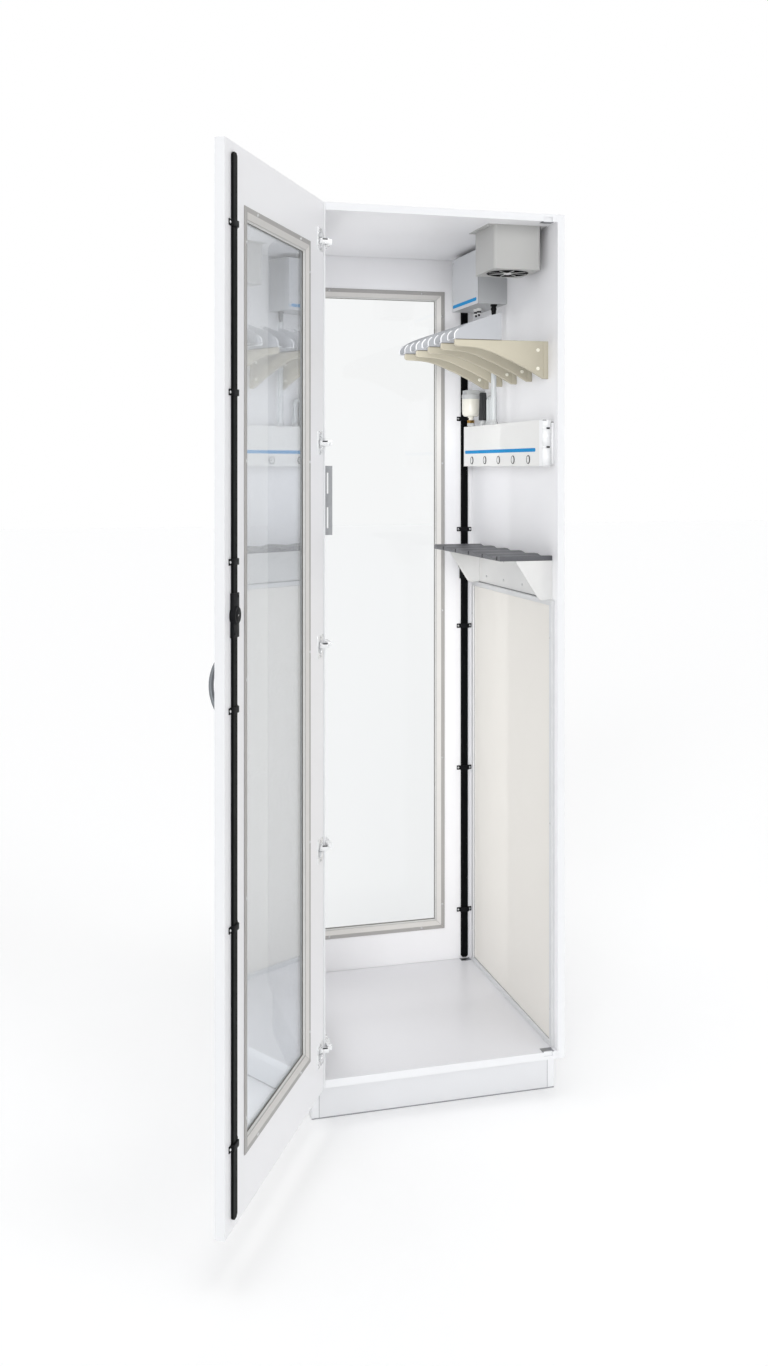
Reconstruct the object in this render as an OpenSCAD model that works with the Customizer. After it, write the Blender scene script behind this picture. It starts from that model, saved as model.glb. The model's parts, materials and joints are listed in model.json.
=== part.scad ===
// Pass-through drying cabinet for flexible scopes. Millimetres, +Z up.
// The origin is the centre of the plinth's footprint on the floor, and the front is towards -Y.
// The front door stands open and the rear door is closed.

/* [Carcass] */
// Outer width of the carcass
carcass_w = 600; // [560:5:700]
// Depth of the carcass without its doors
carcass_d = 615; // [600:5:700]
// Height of the carcass above the plinth
carcass_h = 2000; // [1960:10:2200]
// Thickness of the carcass boards
board_t = 18; // [16:1:22]
// Diameter of the vent hole over the fan
vent_d = 90; // [60:1:94]

/* [Plinth] */
// Height of the plinth
plinth_h = 100; // [60:5:150]
// How far the plinth stands back from the carcass, front and rear
plinth_setback = 65; // [20:1:90]
// Thickness of the plinth boards
plinth_t = 18; // [12:1:25]

/* [Doors] */
// Thickness of a door leaf
door_t = 20; // [19:1:24]
// Gap between a closed leaf and the carcass
door_gap = 2; // [1.5:0.1:3]
// Gap from the carcass side to the leaf's edge
door_side_clear = 2; // [1.8:0.1:3]
// Gap from the carcass top or bottom to the leaf's edge
door_end_clear = 1.5; // [1:0.5:4]
// Opening angle of the front door as it stands
open_angle = 120; // [0:1:120]

/* [Hinges] */
// Number of hinges on a door
hinge_count = 5; // [3:1:6]
// Height of the lowest hinge above the carcass bottom
hinge_end = 90; // [80:1:120]
// Distance of the hinge pin from the carcass side
pin_inset = 5; // [4.8:0.1:5.5]
// Distance of the hinge pin ahead of the carcass edge
pin_ahead = 7.4; // [7.2:0.1:8]
// Diameter of the hinge pin
pin_d = 3; // [2:0.1:3.4]
// Diameter of the hinge cup
cup_d = 35; // [34:0.5:38]
// Depth of the hinge cup
cup_depth = 12.5; // [12:0.5:13.5]
// Distance of the hinge cup from the leaf's edge
cup_edge = 5; // [4:0.5:6]
// Width of the hinge arm
arm_w = 12; // [8:0.5:13]

/* [Window] */
// Distance of the window frame from the leaf's long edges
win_side = 98; // [85:1:120]
// Distance of the window frame from the leaf's short edges
win_end = 106; // [80:1:200]
// Width of the window frame without its seal
win_frame_w = 22.4; // [20:0.1:28]
// Width of the frame's flat flange
win_flange_w = 10.3; // [8:0.1:12]
// Height of the frame above the leaf
win_proud = 2.5; // [1.5:0.1:4]
// Overlap of the frame on the leaf
win_lap = 14; // [12.5:0.1:16]
// Visible width of the glazing seal
seal_w = 3.8; // [2:0.1:6]
// Thickness of the glass
glass_t = 4; // [3:0.5:6]

/* [Locking bars] */
// Distance of the bars' centre line from the leaf's free edge
bar_edge = 40; // [38:1:50]
// Width of a bar
bar_w = 20; // [16:1:22]
// Thickness of a bar
bar_t = 5; // [4:0.5:6]
// Gap from a retracted bar's tip to the floor or ceiling
bar_tip_clear = 3.5; // [3:0.5:6]
// Travel of a bar in a quarter turn of the lock
bar_travel = 12; // [11.5:0.1:12.5]
// Height of the lock above the carcass bottom
lock_z = 1129; // [1100:1:1160]
// Height of the first upper guide above the lock
guide_up_first = 98; // [70:1:120]
// Distance of the last upper guide below the carcass top
guide_up_last = 152; // [60:1:200]
// Depth of the first lower guide below the lock
guide_down_first = 174; // [120:1:200]
// Height of the last lower guide above the carcass bottom
guide_down_last = 156; // [60:1:200]

/* [Handle] */
// Height of the handle's middle above the carcass bottom
handle_z = 998; // [900:1:1030]
// Length of the handle on the leaf
handle_span = 128; // [100:1:160]
// Height of the bow above the leaf
handle_rise = 26; // [22:1:35]
// Width of the bow
handle_w = 12; // [8:1:18]
// Thickness of the bow
handle_t = 7; // [5:0.5:9]

/* [Fan unit] */
// Width of the fan housing
fan_box_w = 120; // [112:1:135]
// Depth of the fan housing
fan_box_d = 140; // [125:1:160]
// Height of the fan housing
fan_box_h = 106; // [95:1:120]
// Gap between the fan housing and the side wall
fan_box_gap = 18; // [17:1:30]
// Distance of the fan housing from the carcass front
fan_box_front = 60; // [50:1:80]
// Side of the square fan
fan_size = 92; // [80:1:100]
// Thickness of the fan
fan_t = 25; // [20:1:32]
// Outer diameter of the grille
grille_d = 97; // [80:1:102]
// Number of openings in the grille
grille_count = 8; // [6:1:12]
// Number of fan blades
blade_count = 7; // [5:1:9]

/* [Control box] */
// Depth of the control box off the wall
ctrl_depth = 82; // [60:1:100]
// Length of the control box
ctrl_len = 208; // [150:1:230]
// Height of the control box
ctrl_h = 142; // [110:1:150]
// Distance of the control box from the carcass front
ctrl_front = 338; // [320:1:350]
// Gap between the control box and the ceiling
ctrl_drop = 12; // [5:1:20]

/* [Scope cradles] */
// Number of cradles
cradle_count = 5; // [3:1:5]
// Pitch of the cradles
cradle_pitch = 105; // [95:1:108]
// Distance of the first cradle from the carcass front
cradle_front = 60; // [50:1:70]
// Distance of the cradles' top below the ceiling
cradle_drop = 277; // [240:1:320]
// How far a cradle reaches off the wall
cradle_reach = 237; // [210:1:260]
// Thickness of a cradle plate
cradle_t = 8; // [6:1:12]
// Height of a cradle at the wall
cradle_h = 91; // [80:1:100]
// Width of the slot between a cradle's cheeks
cradle_slot_w = 24; // [14:1:28]
// Distance over a cradle's two cheeks
cheek_span = 54; // [44:1:60]
// Height of a cheek above the cradle
cheek_h = 66; // [40:1:80]
// Length of a cheek
cheek_len = 118; // [90:1:150]
// Thickness of a cheek
cheek_t = 2; // [1:0.5:2.5]

/* [Manifold] */
// Depth of the manifold box off the wall
mani_depth = 30; // [26:1:45]
// Height of the manifold box
mani_h = 110; // [90:1:125]
// Distance of the manifold box below the ceiling
mani_drop = 468; // [440:1:520]
// Distance of the manifold box from the carcass front
mani_front = 42; // [38:1:60]
// Distance of the manifold box from the carcass rear
mani_rear = 15; // [12:1:60]
// Number of ports
port_count = 5; // [3:1:6]
// Pitch of the ports
port_pitch = 104.5; // [70:0.5:110]
// Height of the ports above the manifold's bottom edge
port_z = 16; // [14:1:30]
// Outer diameter of a port ring
port_d = 21; // [18:0.5:26]
// Diameter of a port's bore
port_bore = 6; // [6:0.5:12]
// Width of the white bracket at the front end
end_bracket_d = 20; // [12:1:24]

/* [Air filter] */
// Diameter of the filter bowl
bowl_d = 49; // [40:1:56]
// Height of the filter bowl
bowl_h = 61; // [50:1:70]
// Distance of the bowl's axis from the side wall
bowl_wall = 37; // [32:1:45]
// Distance of the bowl's axis from the carcass rear
bowl_rear = 95; // [80:1:120]
// Height of the bowl's bottom above the manifold
bowl_lift = 26; // [20:1:32]
// Diameter of the hose down the wall
hose_d = 14; // [8:1:16]

/* [Shelf] */
// Height of the shelf's top above the floor panel
shelf_z = 1171.5; // [1100:0.5:1200]
// Distance of the shelf from the carcass front
shelf_front = 33; // [20:1:50]
// Distance of the shelf from the carcass rear
shelf_rear = 65; // [40:1:100]
// Depth of the shelf
shelf_w = 133; // [110:1:150]
// Thickness of the shelf
shelf_t = 12; // [9:1:18]
// Number of grooves in the shelf
groove_count = 5; // [3:1:6]
// Depth of a groove
groove_depth = 5; // [2:0.5:7]
// Height of the shelf bracket
bracket_h = 94; // [70:1:110]
// Sheet thickness of the shelf bracket
bracket_t = 2; // [1.5:0.5:3]

/* [Drip panel] */
// Width of the drip panel's frame bars
drip_frame_w = 13; // [10:1:20]
// Depth of the drip panel's frame bars
drip_frame_t = 9; // [7:1:14]
// Distance of the drip panel from the carcass front and rear
drip_margin = 20; // [12:1:40]

/* [Slotted bracket] */
// How far the slotted bracket's top lies below the hinge plate above it, which sets its height
slotted_lift = 29; // [15:1:80]
// Height of the slotted bracket
slotted_h = 158; // [120:1:170]
// How far the slotted plate stands off the wall
slotted_w = 24; // [18:1:30]
// Distance of the slotted plate from the carcass front
slotted_front = 34; // [26:1:60]
// Length of a slot
slotted_len = 48; // [30:1:60]

/* [Hidden] */
$fn = 48;
eps = 0.01;

// Planes of the carcass
front_y = -carcass_d / 2;
rear_y = carcass_d / 2;
side_x = carcass_w / 2;
wall_x = side_x - board_t;
floor_z = plinth_h + board_t;
ceil_z = plinth_h + carcass_h - board_t;

// Door leaf, drawn closed at the front
leaf_w = carcass_w - 2 * door_side_clear;
leaf_h = carcass_h - 2 * door_end_clear;
inner_y = front_y - door_gap;
pin_pos = [-side_x + pin_inset, front_y - pin_ahead, 0];
pin_s = pin_inset - door_side_clear;
pin_deep = pin_ahead - door_gap;
cup_s = cup_edge + cup_d / 2;
cup_wall = 1.2;
cup_flange = [36, 52, 1.2];
cheek_gap = arm_w / 2 + 1.4;
cheek_plate = 1;
pin_play = 0.1;
hinge_pitch = (carcass_h - 2 * hinge_end) / (hinge_count - 1);
hinge_zs = [for (k = [0:hinge_count - 1]) hinge_end + k * hinge_pitch];

// Bars, guides and lock, as distances from the leaf's hinge edge
bar_s = leaf_w - bar_edge;
bar_x = -side_x + door_side_clear + bar_s;
bar_lift = 0.3;
bar_top = carcass_h - board_t - bar_tip_clear;
bar_bottom = board_t + bar_tip_clear;
bar_play = 0.3;
guide_wall = 2.2;
guide_ears = 43;
guide_h = 12;
guide_ear_t = 1.8;
guide_up_pitch = (carcass_h - guide_up_last - lock_z - guide_up_first) / 2;
guide_down_pitch = (lock_z - guide_down_first - guide_down_last) / 2;
guide_zs = concat([for (k = [0:2]) lock_z + guide_up_first + k * guide_up_pitch],
                  [for (k = [0:2]) lock_z - guide_down_first - k * guide_down_pitch]);

// Pinion and racks: the pitch radius turns a quarter turn into the bar's travel
gear_teeth = 12;
pitch_r = bar_travel / (PI / 2);
tooth_pitch = 2 * PI * pitch_r / gear_teeth;
tooth_w = 0.44 * tooth_pitch;
tooth_add = 0.85;
tooth_ded = 1.3;
pressure = 20;
rack_back = 2.6;
rack_out = pitch_r + tooth_ded + rack_back;
rack_reach = bar_travel + 8;
shoulder_z = rack_reach + 3.5;
shoulder_h = 3.5;
case_wall = 1.5;
case_in = [2 * rack_out + 0.8, 2 * (shoulder_z + shoulder_h + bar_travel) + 0.6, bar_lift + bar_t + 0.7];
case_out = [case_in[0] + 2 * case_wall, case_in[1] + 2 * case_wall, case_in[2] + case_wall];
boss_d = 36;
boss_h = 10.5;
stub_d = 6;
core_d = 10;
core_play = 0.06;
housing_d = 18;
housing_flange_d = 26;
housing_flange_t = 2.5;
key_slot = [1.8, 7, 6];

// Window
win_size = [leaf_w - 2 * win_side, leaf_h - 2 * win_end];
glass_deep = (door_t - glass_t) / 2;
seal_top = 3.4;
seal_edge = 2.2;
frame_screw_u = 6.6;
frame_screw_end = 68;
frame_screw_rows = 5;

// Fasteners
screw_head_d = 6;
screw_head_h = 1.4;

// Fan unit
sheet_t = 1.5;
fan_x = wall_x - fan_box_gap - fan_box_w / 2;
fan_y = front_y + fan_box_front + fan_box_d / 2;
fan_box_z = ceil_z - fan_box_h;
fan_flange_w = 15;
fan_bend_r = 8;
fan_bolt_inset = 18;
fan_duct_d = fan_size - 4;
fan_hub_d = 34;
fan_shaft_d = 4;
fan_shaft_play = 0.05;
spider_t = 4;
rotor_d = fan_duct_d - 3;
rotor_h = fan_t - spider_t - 3;
blade_t = 1.6;
blade_tilt = 38;
grille_hub_d = 20;
grille_spoke = 3.5;
filter_h = 38;

// Control box
ctrl_x = wall_x - ctrl_depth;
ctrl_y = front_y + ctrl_front;
ctrl_z = ceil_z - ctrl_drop - ctrl_h;
ctrl_cover_t = 2;
gland_x = wall_x - 32;
gland_y = ctrl_y + 14;
gland_d = 12;
gland_h = 32;

// Scope cradles
cradle_top = ceil_z - cradle_drop;
cradle_foot = [12, 1.5];
cradle_lower_edge = [
    [0, 1], [0.055, 1], [0.11, 0.92], [0.17, 0.83], [0.23, 0.75], [0.32, 0.64], [0.4, 0.54], [0.48, 0.46],
    [0.55, 0.38], [0.63, 0.3], [0.72, 0.24], [0.8, 0.21], [0.9, 0.195], [0.98, 0.19], [1, 0.15]
];
slot_len = 62;
bracket_leg = 36;
bracket_leg_t = 2.5;
bracket_leg_zs = [-cradle_h * 0.79, -8];
cradle_screw_x = 26;
cradle_screw_zs = [-22, -cradle_h * 0.73];

// Manifold
mani_x = wall_x - mani_depth;
mani_y = front_y + mani_front;
mani_len = carcass_d - mani_front - mani_rear;
mani_z = ceil_z - mani_drop - mani_h;
mani_cover_t = 2;
port_y0 = mani_y + mani_len / 2 - (port_count - 1) / 2 * port_pitch;
port_ring_t = 1.6;
port_len = 20;
end_slot = [8, 4];
end_slot_zs = [mani_h - 20, mani_h - 65];

// Air filter
bowl_x = wall_x - bowl_wall;
bowl_y = rear_y - bowl_rear;
mani_top = mani_z + mani_h;
head_h = 11;
loop_r = 11;
loop_d = 12;
loop_x = wall_x - 14;
loop_back = 100;
loop_y = bowl_y - loop_back;
loop_h = 80;
bowl_z = mani_top + bowl_lift;
silencer_y = bowl_y - 57;
silencer_x = wall_x - 22;
silencer_h = 75;
silencer_d = [23, 18];

// Shelf and drip panel
shelf_top = floor_z + shelf_z;
shelf_y = front_y + shelf_front;
shelf_len = carcass_d - shelf_front - shelf_rear;
shelf_x = wall_x - shelf_w;
groove_pitch = shelf_len / groove_count;
groove_w = groove_pitch - 20;
gusset_reach = 92;
gusset_foot = 44;
bracket_z = shelf_top - shelf_t - bracket_h;
drip_len = carcass_d - 2 * drip_margin;
drip_h = bracket_z - floor_z;

// ---- placing helpers ----

// Leaf frame: x from the hinge edge, y into the cabinet from the leaf's inner face, z from the carcass bottom
module leaf_frame() {
    translate([-side_x + door_side_clear, inner_y, plinth_h]) children();
}

module front_leaf() {
    translate(pin_pos) rotate([0, 0, -open_angle]) translate(-pin_pos) leaf_frame() children();
}

module rear_leaf() {
    mirror([0, 1, 0]) leaf_frame() children();
}

// Corner frame: x from the left outer side, y into the cabinet from its front edge, z from the carcass bottom
module front_corner() {
    translate([-side_x, front_y, plinth_h]) children();
}

module rear_corner() {
    mirror([0, 1, 0]) front_corner() children();
}

// A block given by its low and high corners
module block(low, high) {
    translate(low) cube(high - low);
}

// A pan-head screw's head, its seat at z = 0
module screw_head() {
    cylinder(d1 = screw_head_d, d2 = screw_head_d * 0.7, h = screw_head_h);
}

// A bar along +X of the given section, a towards +Y and b towards +Z, mitred at both ends
module mitred_bar(len, section) {
    reach = max([for (p = section) p[0]]);
    low = min([for (p = section) p[1]]) - 1;
    high = max([for (p = section) p[1]]) + 1;
    intersection() {
        rotate([90, 0, 90]) linear_extrude(len) polygon(section);
        translate([0, 0, low])
            linear_extrude(high - low)
                polygon([[0, 0], [len, 0], [len - reach, reach], [reach, reach]]);
    }
}

// Four mitred bars round a rectangle in XY
module mitred_ring(size, section) {
    mitred_bar(size[0], section);
    translate([size[0], 0, 0]) rotate([0, 0, 90]) mitred_bar(size[1], section);
    translate([size[0], size[1], 0]) rotate([0, 0, 180]) mitred_bar(size[0], section);
    translate([0, size[1], 0]) rotate([0, 0, 270]) mitred_bar(size[1], section);
}

// ---- carcass ----

module side_panel() {
    block([wall_x, front_y, plinth_h], [side_x, rear_y, plinth_h + carcass_h]);
}

module side_panel_left() {
    color("#eceef0") mirror([1, 0, 0]) side_panel();
}

module side_panel_right() {
    color("#eceef0") side_panel();
}

// The pocket that a bar's tip enters, in one long edge of a level board
module bar_pocket(z_low, z_high) {
    block([bar_x - bar_w / 2 - 1, front_y - 1, z_low],
          [bar_x + bar_w / 2 + 1, inner_y + bar_lift + bar_t + 1, z_high]);
}

module top_panel() {
    pocket = ceil_z + bar_travel - bar_tip_clear + 2;
    color("#e9ebee") difference() {
        block([-wall_x, front_y, ceil_z], [wall_x, rear_y, plinth_h + carcass_h]);
        translate([fan_x, fan_y, ceil_z - 1]) cylinder(d = vent_d, h = board_t + 2, $fn = 64);
        for (m = [0, 1]) mirror([0, m, 0]) bar_pocket(ceil_z - 1, pocket);
    }
}

module floor_panel() {
    pocket = floor_z - bar_travel + bar_tip_clear - 2;
    color("#e9ebee") difference() {
        block([-wall_x, front_y, plinth_h], [wall_x, rear_y, floor_z]);
        for (m = [0, 1]) mirror([0, m, 0]) bar_pocket(pocket, floor_z + 1);
    }
}

plinth_y = rear_y - plinth_setback;

module plinth_cross_boards() {
    color("#f1f2f3")
        for (y = [-plinth_y, -plinth_t / 2, plinth_y - plinth_t])
            block([-side_x + plinth_t, y, 0], [side_x - plinth_t, y + plinth_t, plinth_h]);
}

module plinth_side_boards() {
    color("#f1f2f3")
        for (m = [0, 1]) mirror([m, 0, 0])
            block([side_x - plinth_t, -plinth_y, 0], [side_x, plinth_y, plinth_h]);
}

// Steel plates that guide the bars' tips, on the floor and under the ceiling, front and rear
strike_size = [28, 20, 1.5];

module strike_plate() {
    difference() {
        block([bar_x - strike_size[0] / 2, front_y, 0],
              [bar_x + strike_size[0] / 2, front_y + strike_size[1], strike_size[2]]);
        bar_pocket(-1, strike_size[2] + 1);
    }
}

module strike_plates() {
    color("#8b8d90")
        for (m = [0, 1]) mirror([0, m, 0]) {
            translate([0, 0, floor_z]) strike_plate();
            translate([0, 0, ceil_z]) mirror([0, 0, 1]) strike_plate();
        }
}

// ---- hinges ----

arm_t = 2.5;
arm_out = 24.5;
arm_back = 58;
arm_top = 16;
knuckle_d = pin_d + 3.4;
plate_t = 4;
plate_span = 44;

// Arm, pin and wall plate of one hinge, in the corner frame at the hinge's height
module hinge_arm() {
    translate([pin_inset, -pin_ahead, 0]) {
        translate([0, 0, -cheek_gap - cheek_plate]) cylinder(d = pin_d, h = 2 * (cheek_gap + cheek_plate));
        translate([0, 0, -arm_w / 2]) cylinder(d = knuckle_d, h = arm_w);
    }
    block([pin_inset, -pin_ahead - arm_t / 2, -arm_w / 2], [board_t + arm_out - 18, -pin_ahead + arm_t / 2, arm_w / 2]);
    block([board_t + arm_out - 18 - arm_t, -pin_ahead - arm_t / 2, -arm_w / 2],
          [board_t + arm_out - 18, 6, arm_w / 2]);
    difference() {
        block([board_t + plate_t, 3, -arm_w / 2], [board_t + arm_top, arm_back, arm_w / 2]);
        block([board_t + plate_t + 6, 8, -arm_w / 2 + 2], [board_t + arm_top + 1, arm_back - 22, arm_w / 2 - 2]);
    }
    for (y = [arm_back - 16, arm_back - 7])
        translate([board_t + arm_top, y, 0]) rotate([0, 90, 0]) cylinder(d = 6, h = 1.2);
}

module hinge_wall_plate() {
    block([board_t, 18, -9], [board_t + plate_t, 56, 9]);
    block([board_t, 29, -plate_span / 2], [board_t + plate_t - 1, 45, plate_span / 2]);
    for (z = [-16, 16])
        translate([board_t + plate_t - 1, 37, z]) rotate([0, 90, 0]) cylinder(d1 = 8, d2 = 6, h = 1.6);
}

module hinge_arms() {
    for (z = hinge_zs) translate([0, 0, z]) {
        hinge_arm();
        hinge_wall_plate();
    }
}

module front_hinge_arms() {
    color("#c9cbcd") front_corner() hinge_arms();
}

module rear_hinge_arms() {
    color("#c9cbcd") rear_corner() hinge_arms();
}

// The recess in the leaf that takes a hinge cup, open at the leaf's edge for the arm
module hinge_recess() {
    deep = cup_depth + 0.1;
    translate([cup_s, 0.01, 0]) rotate([90, 0, 0]) cylinder(d = cup_d + 0.2, h = deep, $fn = 64);
    block([-1, -deep, -cheek_gap - cheek_plate - 0.2], [cup_s, 1, cheek_gap + cheek_plate + 0.2]);
}

// Cup with its flange and the two cheeks that hold the pin
module hinge_cup() {
    difference() {
        union() {
            translate([cup_s, 0, 0]) rotate([90, 0, 0]) cylinder(d = cup_d, h = cup_depth, $fn = 64);
            block([0.2, -cup_depth, -cheek_gap - cheek_plate], [cup_s, 0, cheek_gap + cheek_plate]);
            block([cup_s - cup_flange[0] / 2, 0, -cup_flange[1] / 2],
                  [cup_s + cup_flange[0] / 2, cup_flange[2], cup_flange[1] / 2]);
        }
        translate([cup_s, cup_flange[2] + 1, 0]) rotate([90, 0, 0])
            cylinder(d = cup_d - 2 * cup_wall, h = cup_flange[2] + cup_depth, $fn = 64);
        block([-1, -cup_depth + 1, -cheek_gap], [cup_s, cup_flange[2] + 1, cheek_gap]);
        translate([pin_s, -pin_deep, -cheek_gap - cheek_plate - 1])
            cylinder(d = pin_d + 2 * pin_play, h = 2 * (cheek_gap + cheek_plate + 1));
        for (z = [-21, 21])
            translate([cup_s, cup_flange[2] + 1, z]) rotate([90, 0, 0]) cylinder(d = 4, h = cup_flange[2] + 2);
    }
}

module hinge_cups() {
    color("#d4d6d8") for (z = hinge_zs) translate([0, 0, z]) hinge_cup();
}

// ---- door leaf and window ----

module door_leaf() {
    color("#f0f1f3") difference() {
        block([0, -door_t, door_end_clear], [leaf_w, 0, door_end_clear + leaf_h]);
        block([win_side + win_lap, -door_t - 1, door_end_clear + win_end + win_lap],
              [leaf_w - win_side - win_lap, 1, door_end_clear + leaf_h - win_end - win_lap]);
        for (z = hinge_zs) translate([0, 0, z]) hinge_recess();
        translate([bar_s, 1, lock_z]) rotate([90, 0, 0]) cylinder(d = housing_d + 0.4, h = door_t + 2);
    }
}

// The frame's section: flange, bevel and the leg that holds the glass
window_section = [
    [0, 0], [0, win_proud - 0.8], [0.8, win_proud], [win_flange_w, win_proud],
    [win_frame_w, -seal_edge], [win_frame_w, -glass_deep], [win_lap + 0.2, -glass_deep], [win_lap + 0.2, 0]
];
seal_section = [
    [win_frame_w, -glass_deep], [win_frame_w, -seal_top],
    [win_frame_w + seal_w * 0.6, -seal_top], [win_frame_w + seal_w, -glass_deep]
];

// Places a ring drawn in XY on the leaf's inner face, its +Z into the cabinet
module on_inner_face() {
    translate([leaf_w - win_side, 0, door_end_clear + win_end]) rotate([90, 0, 180]) children();
}

module on_outer_face() {
    translate([win_side, -door_t, door_end_clear + win_end]) rotate([90, 0, 0]) children();
}

module window_frame() {
    color("#b9b6b2") {
        on_inner_face() mitred_ring(win_size, window_section);
        on_outer_face() mitred_ring(win_size, window_section);
    }
}

module window_seal() {
    color("#55534f") {
        on_inner_face() mitred_ring(win_size, seal_section);
        on_outer_face() mitred_ring(win_size, seal_section);
    }
}

module window_glass() {
    inset = win_lap + 1;
    color("#dfe9ea", 0.4)
        block([win_side + inset, -glass_deep - glass_t, door_end_clear + win_end + inset],
              [leaf_w - win_side - inset, -glass_deep, door_end_clear + leaf_h - win_end - inset]);
}

// Head centres of the window screws, as distances from the frame's outer corner
win_screw_rows = [for (k = [0:frame_screw_rows - 1])
    frame_screw_end + k * (win_size[1] - 2 * frame_screw_end) / (frame_screw_rows - 1)];
win_screws = concat(
    [for (x = [frame_screw_u, win_size[0] - frame_screw_u], z = win_screw_rows) [x, z]],
    [for (x = [frame_screw_end, win_size[0] - frame_screw_end], z = [frame_screw_u, win_size[1] - frame_screw_u])
        [x, z]]);
guide_screw_x = guide_ears / 2 - 4.5;

module door_screws() {
    color("#cfd1d2") {
        for (p = win_screws)
            translate([win_side + p[0], win_proud, door_end_clear + win_end + p[1]])
                rotate([-90, 0, 0]) screw_head();
        for (z = guide_zs, dx = [-guide_screw_x, guide_screw_x])
            translate([bar_s + dx, guide_ear_t, z])
                rotate([-90, 0, 0]) screw_head();
    }
}

// ---- locking bars ----

module bar_guide() {
    slot_w = bar_w + 2 * bar_play;
    slot_h = bar_lift + bar_t + bar_play;
    difference() {
        union() {
            block([-guide_ears / 2, 0, -guide_h / 2], [guide_ears / 2, guide_ear_t, guide_h / 2]);
            block([-slot_w / 2 - guide_wall, 0, -guide_h / 2],
                  [slot_w / 2 + guide_wall, slot_h + guide_wall, guide_h / 2]);
        }
        block([-slot_w / 2, -1, -guide_h / 2 - 1], [slot_w / 2, slot_h, guide_h / 2 + 1]);
    }
}

module bar_guides() {
    color("#1b1c1e") for (z = guide_zs) translate([bar_s, 0, z]) bar_guide();
}

// Rack teeth pointing to -X from the pitch line, between two heights, with a tooth at z = 0
module rack_teeth(low, high) {
    for (k = [ceil(low / tooth_pitch):floor(high / tooth_pitch)])
        translate([0, 0, k * tooth_pitch])
            rotate([90, 0, 0]) translate([0, 0, -bar_t])
                linear_extrude(bar_t) rack_tooth();
}

module rack_tooth() {
    slope = tan(pressure);
    tip = tooth_w / 2 - tooth_add * slope;
    root = tooth_w / 2 + tooth_ded * slope;
    polygon([[-tooth_add, -tip], [-tooth_add, tip], [tooth_ded + eps, root], [tooth_ded + eps, -root]]);
}

// A bar's inner end: a narrow rack beside the pinion and a shoulder, for a bar that runs to +Z
module rack_end() {
    translate([pitch_r, bar_lift, 0]) rack_teeth(-rack_reach + 2, 6);
    block([pitch_r + tooth_ded, bar_lift, -rack_reach], [rack_out, bar_lift + bar_t, shoulder_z + eps]);
    block([-bar_w / 2, bar_lift, shoulder_z], [rack_out, bar_lift + bar_t, shoulder_z + shoulder_h]);
}

// A whole bar along +Z from the lock's axis, with a chamfered tip
module locking_bar(len) {
    tip = 5;
    rack_end();
    difference() {
        block([-bar_w / 2, bar_lift, shoulder_z + shoulder_h - eps], [bar_w / 2, bar_lift + bar_t, len]);
        for (m = [0, 1]) mirror([m, 0, 0])
            translate([bar_w / 2 - tip, bar_lift - 1, len]) rotate([0, 45, 0])
                cube([tip * 3, bar_t + 2, tip * 3]);
    }
}

module upper_bar() {
    color("#17181a") translate([bar_s, 0, lock_z]) locking_bar(bar_top - lock_z);
}

module lower_bar() {
    color("#17181a") translate([bar_s, 0, lock_z]) rotate([0, 180, 0]) locking_bar_down(lock_z - bar_bottom);
}

// The same bar for the lower side: turning it over also swaps its rack to the other side
module locking_bar_down(len) {
    locking_bar(len);
}

module lock_case() {
    color("#202124") translate([bar_s, 0, lock_z]) {
        difference() {
            union() {
                block([-case_out[0] / 2, 0, -case_out[1] / 2], [case_out[0] / 2, case_out[2], case_out[1] / 2]);
                rotate([-90, 0, 0]) cylinder(d = boss_d, h = boss_h - 2);
                translate([0, boss_h - 2, 0]) rotate([-90, 0, 0]) cylinder(d1 = boss_d, d2 = boss_d - 5, h = 2);
            }
            block([-case_in[0] / 2, -1, -case_in[1] / 2], [case_in[0] / 2, case_in[2], case_in[1] / 2]);
            block([-bar_w / 2 - bar_play, -1, -case_out[1]],
                  [bar_w / 2 + bar_play, bar_lift + bar_t + bar_play, case_out[1]]);
            rotate([-90, 0, 0]) cylinder(d = stub_d + 2 * core_play, h = boss_h - 1.5);
        }
        difference() {
            union() {
                translate([0, -0.2, 0]) rotate([90, 0, 0]) cylinder(d = housing_d, h = door_t - 0.2 + eps);
                translate([0, -door_t, 0]) rotate([90, 0, 0])
                    cylinder(d1 = housing_flange_d, d2 = housing_flange_d - 3, h = housing_flange_t);
            }
            translate([0, 1, 0]) rotate([90, 0, 0])
                cylinder(d = core_d + 2 * core_play, h = door_t + housing_flange_t + 2);
        }
    }
}

// Involute flank of the pinion: half the tooth's angle at radius r
function inv_deg(a) = tan(a) * 180 / PI - a;
function half_tooth(r, base_r) =
    tooth_w / 2 / pitch_r * 180 / PI + inv_deg(pressure) - (r > base_r ? inv_deg(acos(base_r / r)) : 0);

module pinion_outline() {
    base_r = pitch_r * cos(pressure);
    tip_r = pitch_r + tooth_add;
    root_r = pitch_r - tooth_ded;
    steps = 4;
    radii = concat([root_r], [for (i = [0:steps]) base_r + i * (tip_r - base_r) / steps]);
    step = 360 / gear_teeth;
    polygon([for (k = [0:gear_teeth - 1], side = [-1, 1], i = [0:steps + 1])
        let (r = side < 0 ? radii[i] : radii[steps + 1 - i],
             a = (k + 0.5) * step + side * half_tooth(r, base_r))
        r * [cos(a), sin(a)]]);
}

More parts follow.
